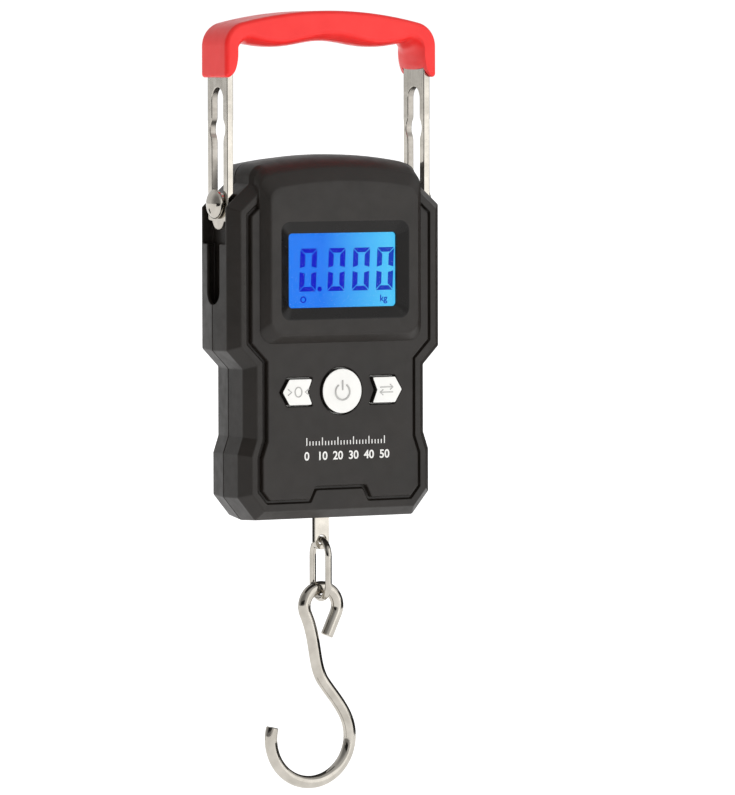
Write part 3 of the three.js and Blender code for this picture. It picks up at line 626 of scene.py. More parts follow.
def case_finish():
    finish = moulded("case_plastic", srgb(27, 23, 19), srgb(33, 28, 24), 0.42, 0.4, 0.02)
    return finish.set(Specular_IOR_Level=0.36).material


def polished_shaded_bezel_finish():
    """The same plastic round the display, glossier where the mould is polished, and darker in colour as
    painted shade on the slopes of its recess.
    """
    finish = moulded("case_polished_shaded", srgb(16, 14, 13), srgb(20, 18, 16), 0.3, 0.6, 0.003)
    return finish.set(Specular_IOR_Level=0.25).material


def grip_finish():
    finish = moulded("grip_plastic", srgb(236, 38, 36), srgb(243, 47, 44), 0.34, 0.5, 0.006)
    finish.set(Coat_Weight=0.08, Coat_Roughness=0.2, Subsurface_Weight=0.08, Specular_IOR_Level=0.28)
    finish.shader.inputs["Subsurface Radius"].default_value = (0.0012, 0.0003, 0.0002)
    return finish.material


def nickel_finish():
    """Bright nickel plate on drawn wire and rolled strip."""
    finish = Finish("nickel")
    finish.colour(srgb(172, 167, 158), srgb(190, 185, 176), 4)
    finish.roughness(0.05, 0.13, 1.4, (1, 1, 5))
    finish.relief(0.9, 0.004, 2, (1, 1, 4))
    finish.relief(5, 0.02)
    return finish.set(Metallic=1.0).material


def punched_finish():
    """The same plate where the strip was punched, which the polishing doesn't reach."""
    finish = Finish("nickel_punched")
    finish.colour(srgb(158, 153, 145), srgb(178, 173, 165), 4)
    finish.roughness(0.3, 0.42, 1.2, (6, 1, 1))
    finish.relief(0.5, 0.01, 2, (6, 1, 1))
    return finish.set(Metallic=1.0).material


def metal_finish(name, low, high, rough, stretch=(1, 1, 6)):
    finish = Finish(name)
    finish.colour(low, high, 2, stretch)
    finish.roughness(rough - 0.08, rough + 0.08, 0.8, stretch)
    finish.relief(0.3, 0.005, 2, stretch)
    return finish.set(Metallic=1.0).material


def lens_finish():
    """Clear acrylic window with the faintest unevenness."""
    finish = Finish("clear_lens")
    finish.colour(srgb(248, 250, 252), srgb(255, 255, 255), 8)
    finish.roughness(0.02, 0.06, 4)
    finish.relief(9, 0.004)
    return finish.set(Transmission_Weight=1.0, IOR=1.06).material


def glow(finish, colour, strength):
    finish.feed(finish.shader.inputs["Emission Color"], colour)
    finish.shader.inputs["Emission Strength"].default_value = strength


def share_along(finish, node, axis):
    """How far along a CAD node a point lies, from 0 at the node's low end to 1 at its high end."""
    low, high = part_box(node)
    place = finish.node("ShaderNodeSeparateXYZ", Vector=finish.place).outputs[axis]
    number = "XYZ".index(axis)
    return finish.ramp(place, 0.0, 1.0, low[number], high[number])


def backlit_finish():
    """Blue backlight, brighter and more cyan towards the right-hand edge where its lamp sits."""
    finish = Finish("display_blue")
    hot = finish.ramp(share_along(finish, "display_glass", "X"), 0.0, 1.0, 0.35, 0.9)
    blue = finish.ramp(hot, srgb(34, 126, 246), srgb(84, 204, 255), 0.0, 1.0)
    glow(finish, blue, 0.95)
    finish.set(Specular_IOR_Level=0.1)
    finish.colour(srgb(4, 8, 24), srgb(5, 10, 30), 5)
    finish.roughness(0.25, 0.35, 2)
    finish.relief(6, 0.003)
    return finish.material


def segment_finish():
    finish = Finish("display_segments")
    across = share_along(finish, "display_glass", "X")
    glow(finish, finish.ramp(across, srgb(2, 16, 200), srgb(24, 66, 190), 0.5, 0.95), 0.95)
    finish.set(Specular_IOR_Level=0.1)
    finish.colour(srgb(4, 6, 20), srgb(5, 8, 26), 5)
    finish.roughness(0.3, 0.4, 2)
    return finish.material


def print_finish(name, low, high):
    """Pad-printed ink, thin enough for the plastic's texture to show."""
    finish = Finish(name)
    finish.colour(low, high, 1.5)
    finish.roughness(0.45, 0.6, 0.8)
    finish.relief(0.28, 0.01)
    return finish.material


def board_finish():
    """Green solder mask over copper tracks."""
    finish = Finish("board_green")
    cells = finish.node("ShaderNodeTexVoronoi", Vector=finish.place, Scale=260.0)
    cells.distance = "MANHATTAN"
    tracks = finish.ramp(cells.outputs["Distance"], 1.0, 0.0, 0.1, 0.16)
    colour = finish.ramp(tracks, srgb(22, 82, 52), srgb(52, 122, 74), 0.0, 1.0)
    finish.feed(finish.shader.inputs["Base Color"], colour)
    finish.roughness(0.3, 0.45, 2)
    finish.relief(0.8, 0.01)
    return finish.material


def wrap_finish():
    """A plain battery label: a broad band of colour between bare metal-coloured ends."""
    finish = Finish("cell_wrap")
    top_band = finish.ramp(share_along(finish, "battery_left", "Z"), 0.0, 1.0, 0.70, 0.705)
    colour = finish.ramp(top_band, srgb(28, 62, 104), srgb(176, 140, 78), 0.0, 1.0)
    finish.feed(finish.shader.inputs["Base Color"], colour)
    finish.roughness(0.22, 0.34, 3)
    finish.relief(4, 0.01)
    return finish.material


finishes = {
    "case_plastic": case_finish(),
    "grip_plastic": grip_finish(),
    "nickel_steel": nickel_finish(),
    "plain_steel": metal_finish("plain_steel", srgb(140, 140, 142), srgb(165, 165, 166), 0.35),
    "cell_aluminium": metal_finish(
        "cell_aluminium", srgb(180, 182, 186), srgb(200, 202, 205), 0.38, (6, 1, 1)
    ),
    "clear_lens": lens_finish(),
    "display_blue": backlit_finish(),
    "board_green": board_finish(),
    "cell_wrap": wrap_finish(),
}
PLAIN_PLASTICS = {  # two colours, the roughness, and the grain's size and height
    "button_plastic": (srgb(234, 233, 229), srgb(241, 240, 236), 0.38, 0.4, 0.006),
    "white_plastic": (srgb(226, 226, 222), srgb(236, 236, 232), 0.5, 0.3, 0.01),
    "black_plastic": (srgb(26, 26, 27), srgb(36, 36, 37), 0.5, 0.25, 0.01),
    "red_wire": (srgb(170, 28, 26), srgb(190, 38, 32), 0.42, 0.6, 0.01),
    "silicone_white": (srgb(222, 222, 218), srgb(236, 236, 232), 0.55, 1.2, 0.03),
}
for plastic, look in PLAIN_PLASTICS.items():
    finishes[plastic] = moulded(plastic, *look).material
segment_ink = segment_finish()
polished_shaded_plastic = polished_shaded_bezel_finish()
# the display bezel's glossier finish, its darker colour painted shade
punched_metal = punched_finish()
white_ink = print_finish("white_ink", srgb(225, 224, 220), srgb(240, 239, 236))
grey_ink = print_finish("grey_ink", srgb(176, 175, 172), srgb(190, 189, 186))


# ---- Adding pieces ----
slot_of_node = {part["node"]: part["material_slot"] for part in frame["record"]["subparts"]}


def add_piece(name, mesh, finish, body):
    """Puts a mesh drawn in millimetres into the frame, as a piece that moves with a body."""
    mesh.transform(Matrix.Translation((0, 0, CASE_FOOT)) @ Matrix.Scale(MM, 4))
    mesh.shade_smooth()
    mesh.set_sharp_from_angle(angle=math.radians(SMOOTH_ANGLE))
    mesh.materials.clear()
    mesh.materials.append(finish)
    piece = new_object(name, mesh)
    normals = piece.modifiers.new("even_normals", "WEIGHTED_NORMAL")
    normals.keep_sharp = True
    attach(piece, body)
    return piece


def stand_for(node, mesh):
    """A finer piece in the place of a CAD node, in the finish of the node's own slot."""
    slot = slot_of_node[node]
    piece = add_piece(f"{node}_fine", mesh, finishes[slot], body_of_node[node])
    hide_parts(node)
    return piece


def cad_mesh(node):
    """A CAD node's own mesh, in millimetres in the case's frame."""
    mesh = frame["nodes"][node].data.copy()
    mesh.transform(Matrix.Scale(1 / MM, 4) @ Matrix.Translation((0, 0, -CASE_FOOT)))
    return mesh


# ---- Handle ----
def bracket_outline(grow):
    bend = (BRACKET_HALF - BRACKET_BEND, BRACKET_TOP_Z - BRACKET_BEND)
    outer_x = BRACKET_HALF + grow
    inner_x = BRACKET_HALF - STRIP_THICKNESS - grow
    foot = ARM_TIP_Z - grow
    outside = mirrored([Vector((outer_x, foot)), *arc(*bend, BRACKET_BEND + grow, 0, 90, 16)])
    inner_bend = BRACKET_BEND - STRIP_THICKNESS - grow
    inside = mirrored([Vector((inner_x, foot)), *arc(*bend, inner_bend, 0, 90, 16)])
    return outside + inside[::-1]


def arm_slot_outline():
    """The long slot: round ends, and a short wider stretch half-way up."""
    points = arc(0, SCREW_Z, SLOT_HALF, 180, 360, 20)
    for sign in (1, -1):
        near = Vector((sign * SLOT_HALF, SLOT_WIDE_Z - sign * SLOT_WIDE_REACH))
        far = Vector((sign * SLOT_HALF, SLOT_WIDE_Z + sign * SLOT_WIDE_REACH))
        wide = Vector((sign * SLOT_WIDE_HALF, SLOT_WIDE_Z))
        pull = Vector((0, sign * 2))
        points += bezier(near, Vector((near.x, wide.y)) - pull, wide - pull, wide, 8)
        points += bezier(wide, wide + pull, Vector((far.x, wide.y)) + pull, far, 8)[1:]
        if sign > 0:
            points += arc(0, SLOT_TOP_Z - SLOT_HALF, SLOT_HALF, 0, 180, 20)
    return points


def arm_tip_outline():
    taper_z = SCREW_Z - SLOT_HALF - 1.5
    return [
        *arc(0, ARM_TIP_Z + TIP_HALF, TIP_HALF, -160, -20, 16),
        Vector((STRIP_HALF_WIDTH, taper_z)),
        Vector((STRIP_HALF_WIDTH, BRACKET_TOP_Z + 1)),
        Vector((-STRIP_HALF_WIDTH, BRACKET_TOP_Z + 1)),
        Vector((-STRIP_HALF_WIDTH, taper_z)),
    ]


def handle_bracket():
    strip = plate(bracket_outline(0), -STRIP_HALF_WIDTH, STRIP_HALF_WIDTH)
    silhouette = side_plate(rounded(arm_tip_outline(), 3), -FAR, FAR)
    slots = side_plate(arm_slot_outline(), -FAR, FAR)
    return softened(cut(common(strip, silhouette), slots), 0.32, 3)


def grip_crown(y):
    """Goes from 0 in the middle of the grip's depth to 1 at its front and back."""
    return abs(y / GRIP_HALF_DEPTH) ** 2.5


def grip_underside(x, y):
    crown = grip_crown(y)
    finger_depth = FINGER_DEPTH[0] + (FINGER_DEPTH[1] - FINGER_DEPTH[0]) * crown
    wave = finger_depth * (math.cos(2 * math.pi * x / GRIP_WAVE) - 1)
    return GRIP_UNDERSIDE_Z + wave + GRIP_CROWN * crown


def foot_sweep(inner, tip, foot):
    """A leg's inner wall curving outwards to the narrow tip of its foot."""
    turns = spaced_turns(0, 60, 8)
    sweep = []
    for turn in turns:
        x = inner + (tip - inner) * 2 * (1 - math.cos(turn))
        sweep.append(Vector((x, foot + FOOT_SWEEP * (1 - math.sin(turn) / math.sin(turns[-1])))))
    return sweep


def grip_section(y):
    share = min(1, abs(y / GRIP_HALF_DEPTH))
    into_edge = min(1, max(0, (share - 0.84) / 0.16))
    edge = 1.4 * (1 - math.sqrt(1 - into_edge**2))
    half = GRIP_HALF - edge
    foot = GRIP_FOOT_Z + edge
    outside = arc(half - FOOT_CORNER, foot + FOOT_CORNER, FOOT_CORNER, -90, 0, 6)
    outside += arched_top(half, GRIP_TOP_Z - edge, GRIP_CORNER - edge, GRIP_ARCH_RADIUS, 16)
    inner = LEG_INNER + LEG_CROWN * grip_crown(y)
    wave_end = inner - GRIP_INNER_CORNER
    inside = [Vector((x, grip_underside(x, y) + 0.6 * edge)) for x in spaced(0, wave_end, 44)]
    inside += arc(wave_end, inside[-1].y - GRIP_INNER_CORNER, GRIP_INNER_CORNER, 90, 0, 12)[1:]
    inside += foot_sweep(inner, half - FOOT_TIP, foot)
    left_inside = [Vector((-p.x, p.y)) for p in inside[1:]][::-1]
    return mirrored(outside) + left_inside + inside


def handle_grip():
    depths = [GRIP_HALF_DEPTH * math.sin(turn) for turn in spaced_turns(-90, 90, 36)]
    body = layers([(y, grip_section(y)) for y in depths])
    pocket_half = STRIP_HALF_WIDTH + FIT
    return cut(body, plate(bracket_outline(FIT), -pocket_half, pocket_half))


# ---- Case ----
def rolled_top(y):
    """Height of the case's rolled front top at a depth."""
    share = min(1, max(0, (ROLL_BACK_Y - y) / (ROLL_BACK_Y - HOOD_Y)))
    return ROLL_START_Z + (CASE_HEIGHT - ROLL_START_Z) * math.sqrt(1 - share**2)


def case_skin(profile, keep_top=0.0):
    """The case's outline swept through (inset, depth) steps; keep_top is the share of an inset
    that the top doesn't follow."""
    sections = []
    for shrink, y in profile:
        kept = keep_top if shrink > 0 else 1
        sections.append((y, case_outline(shrink, rolled_top(y) + kept * shrink)))
    return layers(sections)


def front_body():
    corners = [
        (BEVEL + 1.2, -HALF_DEPTH), (BEVEL, -HALF_DEPTH), (0, BEVEL_DEPTH - HALF_DEPTH),
        (-DRAFT / 2, ROLL_BACK_Y), (-DRAFT, -SEAM - 0.2), (0.2 - DRAFT, -SEAM),
    ]
    return case_skin(rounded(vectors(corners), 1.0, 3, closed=False), keep_top=0.87)


def groove_cutter():
    grow = PANEL_INSET - GROOVE_OUTER_INSET
    floor_y = GROOVE_DEPTH - HALF_DEPTH
    return layers([
        (y, rounded(panel_outline(wider), 0.9, like=panel_outline()))
        for y, wider in (
            (-HALF_DEPTH - 0.5, grow + EDGE + 0.5),
            (-HALF_DEPTH, grow + EDGE),
            (-HALF_DEPTH + 0.12, grow + 0.12),
            (-HALF_DEPTH + EDGE, grow),
            (floor_y - 0.25, grow - 0.15),
            (floor_y, grow - 0.4),
        )
    ])


def front_panel():
    sections = []
    foot_y = GROOVE_DEPTH - HALF_DEPTH + 0.5
    edge = [(PANEL_Y + deep, -aside) for aside, deep in quarter_round(0.5)]
    for y, grow in [*edge, (foot_y, 0.25)]:
        sections.append((y, rounded(panel_outline(grow), 0.8, like=panel_outline())))
    return layers(sections)


def hood_body():
    corners = [(-1.5, HOOD_Y), (0, HOOD_Y), (HOOD_SPREAD, PANEL_Y), (HOOD_SPREAD, ROLL_BACK_Y)]
    steps = rounded(vectors(corners), 1.3, 6, closed=False)
    front = [(p.x, p.y) for p in steps[:-1]]
    for turn in spaced_turns(0, 90, 20)[1:]:
        y = ROLL_BACK_Y - (ROLL_BACK_Y - HOOD_Y) * math.cos(turn)
        if y > front[-1][1] + 0.1:
            front.append((HOOD_SPREAD, y))
    sections = []
    for spread, y in front:
        bottom = HOOD_FACE_BOTTOM_Z - spread * 1.04
        top = rolled_top(y) + min(0, spread)
        sections.append((y, hood_outline(HOOD_FACE_HALF + spread, bottom, top)))
    return layers(sections)


def channel_blocks():
    return both_sides(lambda side: block(
        span(side, CHANNEL_INNER - 2, UPPER_HALF - 0.5),
        (-CHANNEL_HALF_WIDTH - 2, CHANNEL_HALF_WIDTH + 2),
        (CHANNEL_BOTTOM_Z - 2, SCREW_Z + 1),
    ))


def arm_openings(side):
    channel = block(
        span(side, CHANNEL_INNER, CHANNEL_OUTER),
        (-CHANNEL_HALF_WIDTH, CHANNEL_HALF_WIDTH), (CHANNEL_BOTTOM_Z, CASE_HEIGHT),
    )
    notch = block(
        span(side, CHANNEL_INNER, FAR), (-NOTCH_HALF_WIDTH, NOTCH_HALF_WIDTH),
        (NOTCH_BOTTOM_Z, CASE_HEIGHT),
    )
    slot_outline = arc(0, SIDE_SLOT_BOTTOM_Z + SIDE_SLOT_HALF, SIDE_SLOT_HALF, 180, 360, 20)
    slot_outline += [Vector((y, NOTCH_BOTTOM_Z + 1)) for y in (SIDE_SLOT_HALF, -SIDE_SLOT_HALF)]
    slot = side_plate(slot_outline, *span(side, CHANNEL_INNER + 1, FAR))
    screw_hole = bar("x", SHANK_RADIUS + FIT, *span(side, 20, FAR), (0, SCREW_Z))
    ear_pocket = block(
        span(side, YOKE_OUTER - YOKE_THICKNESS - FIT, YOKE_OUTER + FIT / 2),
        (-YOKE_HALF_DEPTH - FIT, YOKE_HALF_DEPTH + FIT), (YOKE_FLOOR_Z, YOKE_TOP_Z + FIT),
    )
    return [channel, notch, slot, screw_hole, ear_pocket]


def strap_hole():
    half = STRAP_HALF + STRAP_GAP
    return block((-half, half), (-1 - STRAP_GAP, 1 + STRAP_GAP), (-1, 4))


def flared(grown_outline, floor_y, face_y, flare=0.3):
    """A cutter whose mouth opens out a little at the face; it takes an outline for each growth."""
    return layers([
        (face_y - 1, grown_outline(flare)),
        (face_y, grown_outline(flare)),
        (face_y + flare * 0.4, grown_outline(flare * 0.3)),
        (face_y + flare, grown_outline(0)),
        (floor_y, grown_outline(0)),
    ])


def grown_arrow(side, grow, corner=0.5):
    sharp = arrow_outline(side)
    return rounded(inset(sharp, -grow), corner, like=sharp)


def grown_round(grow):
    return circle(0, BUTTON_Z, POWER_RADIUS + grow, 64)


def button_holes():
    outlines = (
        lambda grow: grown_round(BUTTON_GAP + grow),
        lambda grow: grown_arrow(1, BUTTON_GAP + grow),
        lambda grow: grown_arrow(-1, BUTTON_GAP + grow),
    )
    return [flared(outline, 0, PANEL_Y) for outline in outlines]


def window_outline(grow=0.0, corner=1.2):
    return rounded_box(WINDOW_HALF + grow, WINDOW_Z[0] - grow, WINDOW_Z[1] + grow, corner)


def display_aperture():
    return layers([
        (HOOD_Y - 1, window_outline(BEZEL_BORDER + 1.3, 4.3)),
        (HOOD_Y, window_outline(BEZEL_BORDER + 0.3, 3.3)),
        (HOOD_Y + 0.12, window_outline(BEZEL_BORDER - 0.05, 3)),
        (WINDOW_Y - 0.1, window_outline(0.25, 1.3)),
        (WINDOW_Y, window_outline(0.05, 1.2)),
        (WINDOW_Y + 0.15, window_outline()),
        (WINDOW_Y + 4, window_outline()),
    ])


def front_cavity():
    """The room inside: the case's own, and more behind the panel and behind the hood."""
    hollow = case_skin([(4.4, CAVITY_FRONT_Y), (WALL, CAVITY_FRONT_Y + 2.6), (WALL, 1)])
    flank = mirrored(vectors(CASE_FLANK))
    past_front = CAVITY_FRONT_Y + 0.2
    behind_panel = plate(inset(flank, PANEL_INSET + 1.4), PANEL_Y + PANEL_WALL, past_front)
    hood_half = HOOD_FACE_HALF + HOOD_SPREAD - WALL
    hood_bottom = HOOD_FACE_BOTTOM_Z + 1.3
    behind_hood = layers([
        (WINDOW_Y + HOOD_WALL, hood_outline(hood_half, hood_bottom, ROLL_START_Z)),
        (past_front, hood_outline(hood_half, hood_bottom, ROLL_START_Z + 5)),
    ])
    return [hollow, behind_panel, behind_hood]


def front_bosses():
    """Bored posts for the case screws and the board screws."""
    bosses = []
    for place in CASE_SCREW_PLACES:
        boss = bar("y", BOSS_RADIUS, -11, -SEAM, place, 24)
        bosses.append(cut(boss, bar("y", CASE_SCREW_RADIUS + 0.05, -9, 1, place, 24)))
    for place in BOARD_SCREW_PLACES:
        boss = bar("y", BOARD_BOSS_RADIUS, PANEL_Y + 1, BOARD_FRONT_Y - SEAT, place, 24)
        bosses.append(cut(boss, bar("y", BOARD_SCREW_RADIUS + 0.05, -10.5, 0, place, 24)))
    return bosses


def front_cover():
    outside = joined(cut(front_body(), groove_cutter()), front_panel(), hood_body())
    shell = cut(outside, *front_cavity())
    shell = joined(shell, common(channel_blocks(), front_body()))
    shell = cut(shell, block((-FAR, FAR), (-SEAM, FAR), (-FAR, ABOVE)))
    shell = joined(shell, *front_bosses())
    openings = [*arm_openings(1), *arm_openings(-1), *button_holes(), display_aperture(), strap_hole()]
    shell = cut(shell, *openings)
    return softened(shell, 0.3, 2, 35, on_case_side)


def on_case_side(place):
    """True by the arm channels' mouths and at the strap's hole, whose edges are cut sharp."""
    by_channel = abs(place.x) > CHANNEL_INNER - 0.2 and place.z > SIDE_SLOT_BOTTOM_Z - 1
    by_strap = place.z < 0.1 and abs(place.x) < 4
    return by_channel and 1 < abs(place.y) < 9.5 or by_strap


def polish_and_shade_bezel(cover):
    """Gives the slopes round the display the polished finish, whose darker colour is painted shade in the
    recess.
    """
    cover.data.materials.append(polished_shaded_plastic)
    low_x, low_z = -WINDOW_HALF - BEZEL_BORDER - 0.5, WINDOW_Z[0] - BEZEL_BORDER - 0.5
    high_x, high_z = -low_x, WINDOW_Z[1] + BEZEL_BORDER + 0.5
    # painted shade: the recess slopes round the window take the darker finish
    for face in cover.data.polygons:
        x, y, z = (face.center - Vector((0, 0, CASE_FOOT))) / MM
        in_border = low_x < x < high_x and low_z < z < high_z
        if in_border and HOOD_Y + 0.02 < y < WINDOW_Y + HOOD_WALL:
            face.material_index = 1


def shade_key_flanks(button):
    """Gives the keys' flanks the dark case plastic, as painted shade for the shadowed gap round each key;
    only their faces stay white.
    """
    button.data.materials.append(finishes["case_plastic"])
    # painted shade: every face that doesn't look forward takes the dark plastic
    for face in button.data.polygons:
        if face.normal.y > -0.6:
            face.material_index = 1


def roughen_slots(bracket):
    """Gives the walls of the arms' slots the punched finish."""
    bracket.data.materials.append(punched_metal)
    for face in bracket.data.polygons:
        in_slot = abs(face.center.y) < (STRIP_HALF_WIDTH - 1) * MM
        if in_slot and abs(face.normal.x) < 0.5 and face.center.z < GRIP_FOOT_Z * MM + CASE_FOOT:
            face.material_index = 1


def bay_block(side, grow):
    return block(
        span(side, BATTERY_X - BAY_HALF - grow, BATTERY_X + BAY_HALF + grow),
        (-0.1 - grow, HALF_DEPTH), (BAY_Z[0] - grow, BAY_Z[1] + grow),
    )


def screw_well(place):
    """Room for a case screw: a bore for its shank and a wider one for its head."""
    head = CASE_SCREW_HEAD + FIT
    head_profile = [
        (4, head), (HALF_DEPTH - 0.35, head), (HALF_DEPTH, head + 0.35), (HALF_DEPTH + 1, head + 1),
    ]
    shank = bar("y", CASE_SCREW_RADIUS + FIT, -1, FAR, place, 32)
    return [shank, lathe("y", place, head_profile, 40)]


def cover_recess():
    """Where the battery cover lies, its mouth eased."""
    outline = rounded_box(COVER_HALF + FIT, COVER_Z[0] - FIT, COVER_Z[1] + FIT, 1.2)
    return layers([
        (HALF_DEPTH - COVER_THICKNESS - SEAT, outline),
        (HALF_DEPTH - 0.25, outline),
        (HALF_DEPTH, inset(outline, -0.25)),
        (HALF_DEPTH + 1, inset(outline, -1)),
    ])


def finger_notch():
    """A round dip for the fingertip that presses the battery cover's latch."""
    return lathe("y", (0, COVER_Z[1] + 1.5), [
        (HALF_DEPTH - 1, 4.4), (HALF_DEPTH - 0.6, 4.9), (HALF_DEPTH - 0.2, 5),
        (HALF_DEPTH, 5.3), (HALF_DEPTH + 1, 6),
    ])


def rear_cover():
    corners = [
        (0.2 - DRAFT, SEAM), (-DRAFT, SEAM + 0.2), (REAR_INSET, REAR_BEVEL_Y),
        (REAR_INSET + REAR_BEVEL, HALF_DEPTH), (REAR_INSET + REAR_BEVEL + 0.6, HALF_DEPTH),
    ]
    profile = rounded(vectors(corners), 1.0, 3, closed=False)
    body = case_skin(profile)
    cavity = case_skin([(WALL, -1), (WALL + REAR_INSET, REAR_BEVEL_Y - 1), (4.4, HALF_DEPTH - WALL)])
    shell = joined(cut(body, cavity), common(channel_blocks(), case_skin(profile)))
    shell = cut(shell, block((-FAR, FAR), (-FAR, SEAM), (-FAR, ABOVE)))
    solids = [both_sides(lambda side: bay_block(side, BAY_WALL))]
    hollows = [bay_block(1, 0), bay_block(-1, 0), cover_recess(), finger_notch()]
    for place in CASE_SCREW_PLACES:
        solids.append(bar("y", BOSS_RADIUS + 0.8, SEAM, HALF_DEPTH - 1, place, 32))
        hollows += screw_well(place)
    hollows.append(strap_hole())
    shell = cut(joined(shell, *solids), *hollows, *arm_openings(1), *arm_openings(-1))
    return softened(shell, 0.3, 2, 35, on_case_side)


def battery_cover():
    outer_y = HALF_DEPTH - 0.02
    outline = rounded_box(COVER_HALF, *COVER_Z, 1)
    lid = plate(outline, outer_y - COVER_THICKNESS, outer_y, 0.1, 0.3)
    cutters = [block((x - 0.5, x + 0.5), (0, FAR), (COVER_Z[1] - 9, ABOVE)) for x in (-6, 6)]
    pad_outline = [Vector((p.x, p.y + COVER_Z[1] - 2.5)) for p in rounded_box(4.5, -1.5, 1.5, 0.5)]
    pad = plate(pad_outline, outer_y - 0.5, FAR)
    inner_y = outer_y - COVER_THICKNESS
    ribs = [
        block(
            span(side, BATTERY_X - 4, BATTERY_X + 4), (inner_y - 0.1, inner_y + 0.2),
            (BAY_Z[0] + 6, BAY_Z[1] - 6),
        )
        for side in (1, -1)
    ]
    ridges = [bar("x", 0.3, -3.6, 3.6, (outer_y - 0.5, COVER_Z[1] - z), 16) for z in (1.7, 2.5, 3.3)]
    return joined(cut(joined(lid, *ribs), *cutters, pad), *ridges)


# ---- Display ----
def display_window():
    flange_y = WINDOW_Y + HOOD_WALL + SEAT
    flange = plate(window_outline(1.5, 1.5), flange_y, flange_y + LENS_FLANGE, 0.1, 0.1)
    raised = plate(window_outline(-FIT, 1), WINDOW_Y + 0.2, flange_y + LENS_FLANGE / 2, 0.2)
    return joined(flange, raised)


DIGIT_HEIGHT = 13.3
DIGIT_WIDTH = 5.9
SEGMENT = 1.8
SEGMENT_GAP = 0.45
MITRE_GAP = 0.05
DIGIT_SLANT = 0.045
DIGIT_LEFTS = [-14.7, -4.7, 4.0, 12.5]
DIGIT_FOOT_Z = WINDOW_Z[0] + 5
POINT_X = -7.4
STEADY_MARK_X = -13.2
UNIT_X = 15.2


def digit_segments(left, foot):
    """The six outer bars of a seven-segment nought, each with mitred ends."""
    half = DIGIT_HEIGHT / 2
    width = DIGIT_WIDTH
    bars = []
    long_trim, short_trim, outer_trim = SEGMENT, SEGMENT * 0.35, 0.15
    for low, foot_gap, head_gap, foot_trim, head_trim in (
        (0, SEGMENT_GAP / 2, SEGMENT_GAP, long_trim, short_trim),
        (half, SEGMENT_GAP, SEGMENT_GAP / 2, short_trim, long_trim),
    ):
        foot_z = low + foot_gap
        head_z = low + half - head_gap
        bars.append([
            (0, foot_z + outer_trim), (SEGMENT, foot_z + foot_trim),
            (SEGMENT, head_z - head_trim), (0, head_z - outer_trim),
        ])
        bars.append([(width - x, z) for x, z in bars[-1]][::-1])
    thin = 0.8 * SEGMENT
    bars.append([
        (MITRE_GAP, 0), (width - MITRE_GAP, 0),
        (width - thin - MITRE_GAP, thin), (thin + MITRE_GAP, thin),
    ])
    bars.append([(x, DIGIT_HEIGHT - z) for x, z in bars[-1]][::-1])
    outlines = []
    for corners in bars:
        outlines.append([Vector((left + x + DIGIT_SLANT * z, foot + z)) for x, z in corners])
    return outlines


def text_mesh(words, size, x, y, z, depth=0.06):
    """Numbers or unit signs in Blender's own font, standing in the X-Z plane."""
    curve = bpy.data.curves.new("text", "FONT")
    curve.body = words
    curve.size = size
    curve.align_x = "CENTER"
    curve.extrude = depth / 2
    curve.offset = 0.02 * size
    holder = new_object("text", curve)
    bpy.context.view_layer.update()
    mesh = bpy.data.meshes.new_from_object(holder.evaluated_get(bpy.context.evaluated_depsgraph_get()))
    bpy.data.objects.remove(holder)
    mesh.transform(Matrix.Translation((x, y, z)) @ Matrix.Rotation(math.pi / 2, 4, "X"))
    return mesh


def merged(meshes):
    """Several separate meshes as one."""
    bm = bmesh.new()
    for mesh in meshes:
        bm.from_mesh(mesh)
    whole = bpy.data.meshes.new("merged")
    bm.to_mesh(whole)
    bm.free()
    return whole


def display_marks():
    """The reading of an empty scale: noughts with a point, a steady mark and the unit."""
    front_y = box_mm("display_glass")[0].y - 0.05
    back_y = front_y + 0.08
    outlines = []
    for left in DIGIT_LEFTS:
        outlines += digit_segments(left, DIGIT_FOOT_Z)
    outlines.append(circle(POINT_X, DIGIT_FOOT_Z + 0.7, 0.8, 16))
    marks = [plate(outline, front_y, back_y) for outline in outlines]
    steady = circle(STEADY_MARK_X, WINDOW_Z[0] + 2.5, 0.85, 20)
    marks.append(tube([(p.x, front_y + 0.03, p.y) for p in steady], 0.2, 8, closed=True))
    marks.append(text_mesh("kg", 2.9, UNIT_X, front_y + 0.03, WINDOW_Z[0] + 1.5))
    return merged(marks)


# ---- Buttons and their marks ----
def power_button():
    profile = []
    for radius in (0.4, 1.5, 3, 4.5, 5.6):
        profile.append((BUTTON_FACE_Y + 0.02 + 0.28 * (radius / POWER_RADIUS) ** 2, radius))
    for aside, deep in quarter_round(0.3, 6):
        profile.append((BUTTON_FACE_Y + 0.22 + deep, POWER_RADIUS - aside))
    flange = POWER_RADIUS + BUTTON_FLANGE
    profile += zip(FLANGE_STEPS_Y, (POWER_RADIUS, flange, flange))
    return lathe("y", (0, BUTTON_Z), profile, 64)


def arrow_button(side):
    sections = [
        (BUTTON_FACE_Y + deep, grown_arrow(side, -aside)) for aside, deep in quarter_round(0.25, 5)
    ]
    flange = grown_arrow(side, BUTTON_FLANGE)
    sections += zip(FLANGE_STEPS_Y, (grown_arrow(side, 0), flange, flange))
    return layers(sections)


MARK_Y = BUTTON_FACE_Y + 0.02
KEY_MARK_X = 15.6


def power_mark():
    """The usual open ring with a stroke through its gap."""
    ring = [(p.x, MARK_Y, p.y) for p in arc(0, BUTTON_Z - 0.3, 2.5, 125, 415, 40)]
    stroke = [(0, MARK_Y, BUTTON_Z + up) for up in (0.4, 1.8, 3.2)]
    return merged([tube(ring, 0.3, 10), tube(stroke, 0.3, 10)])


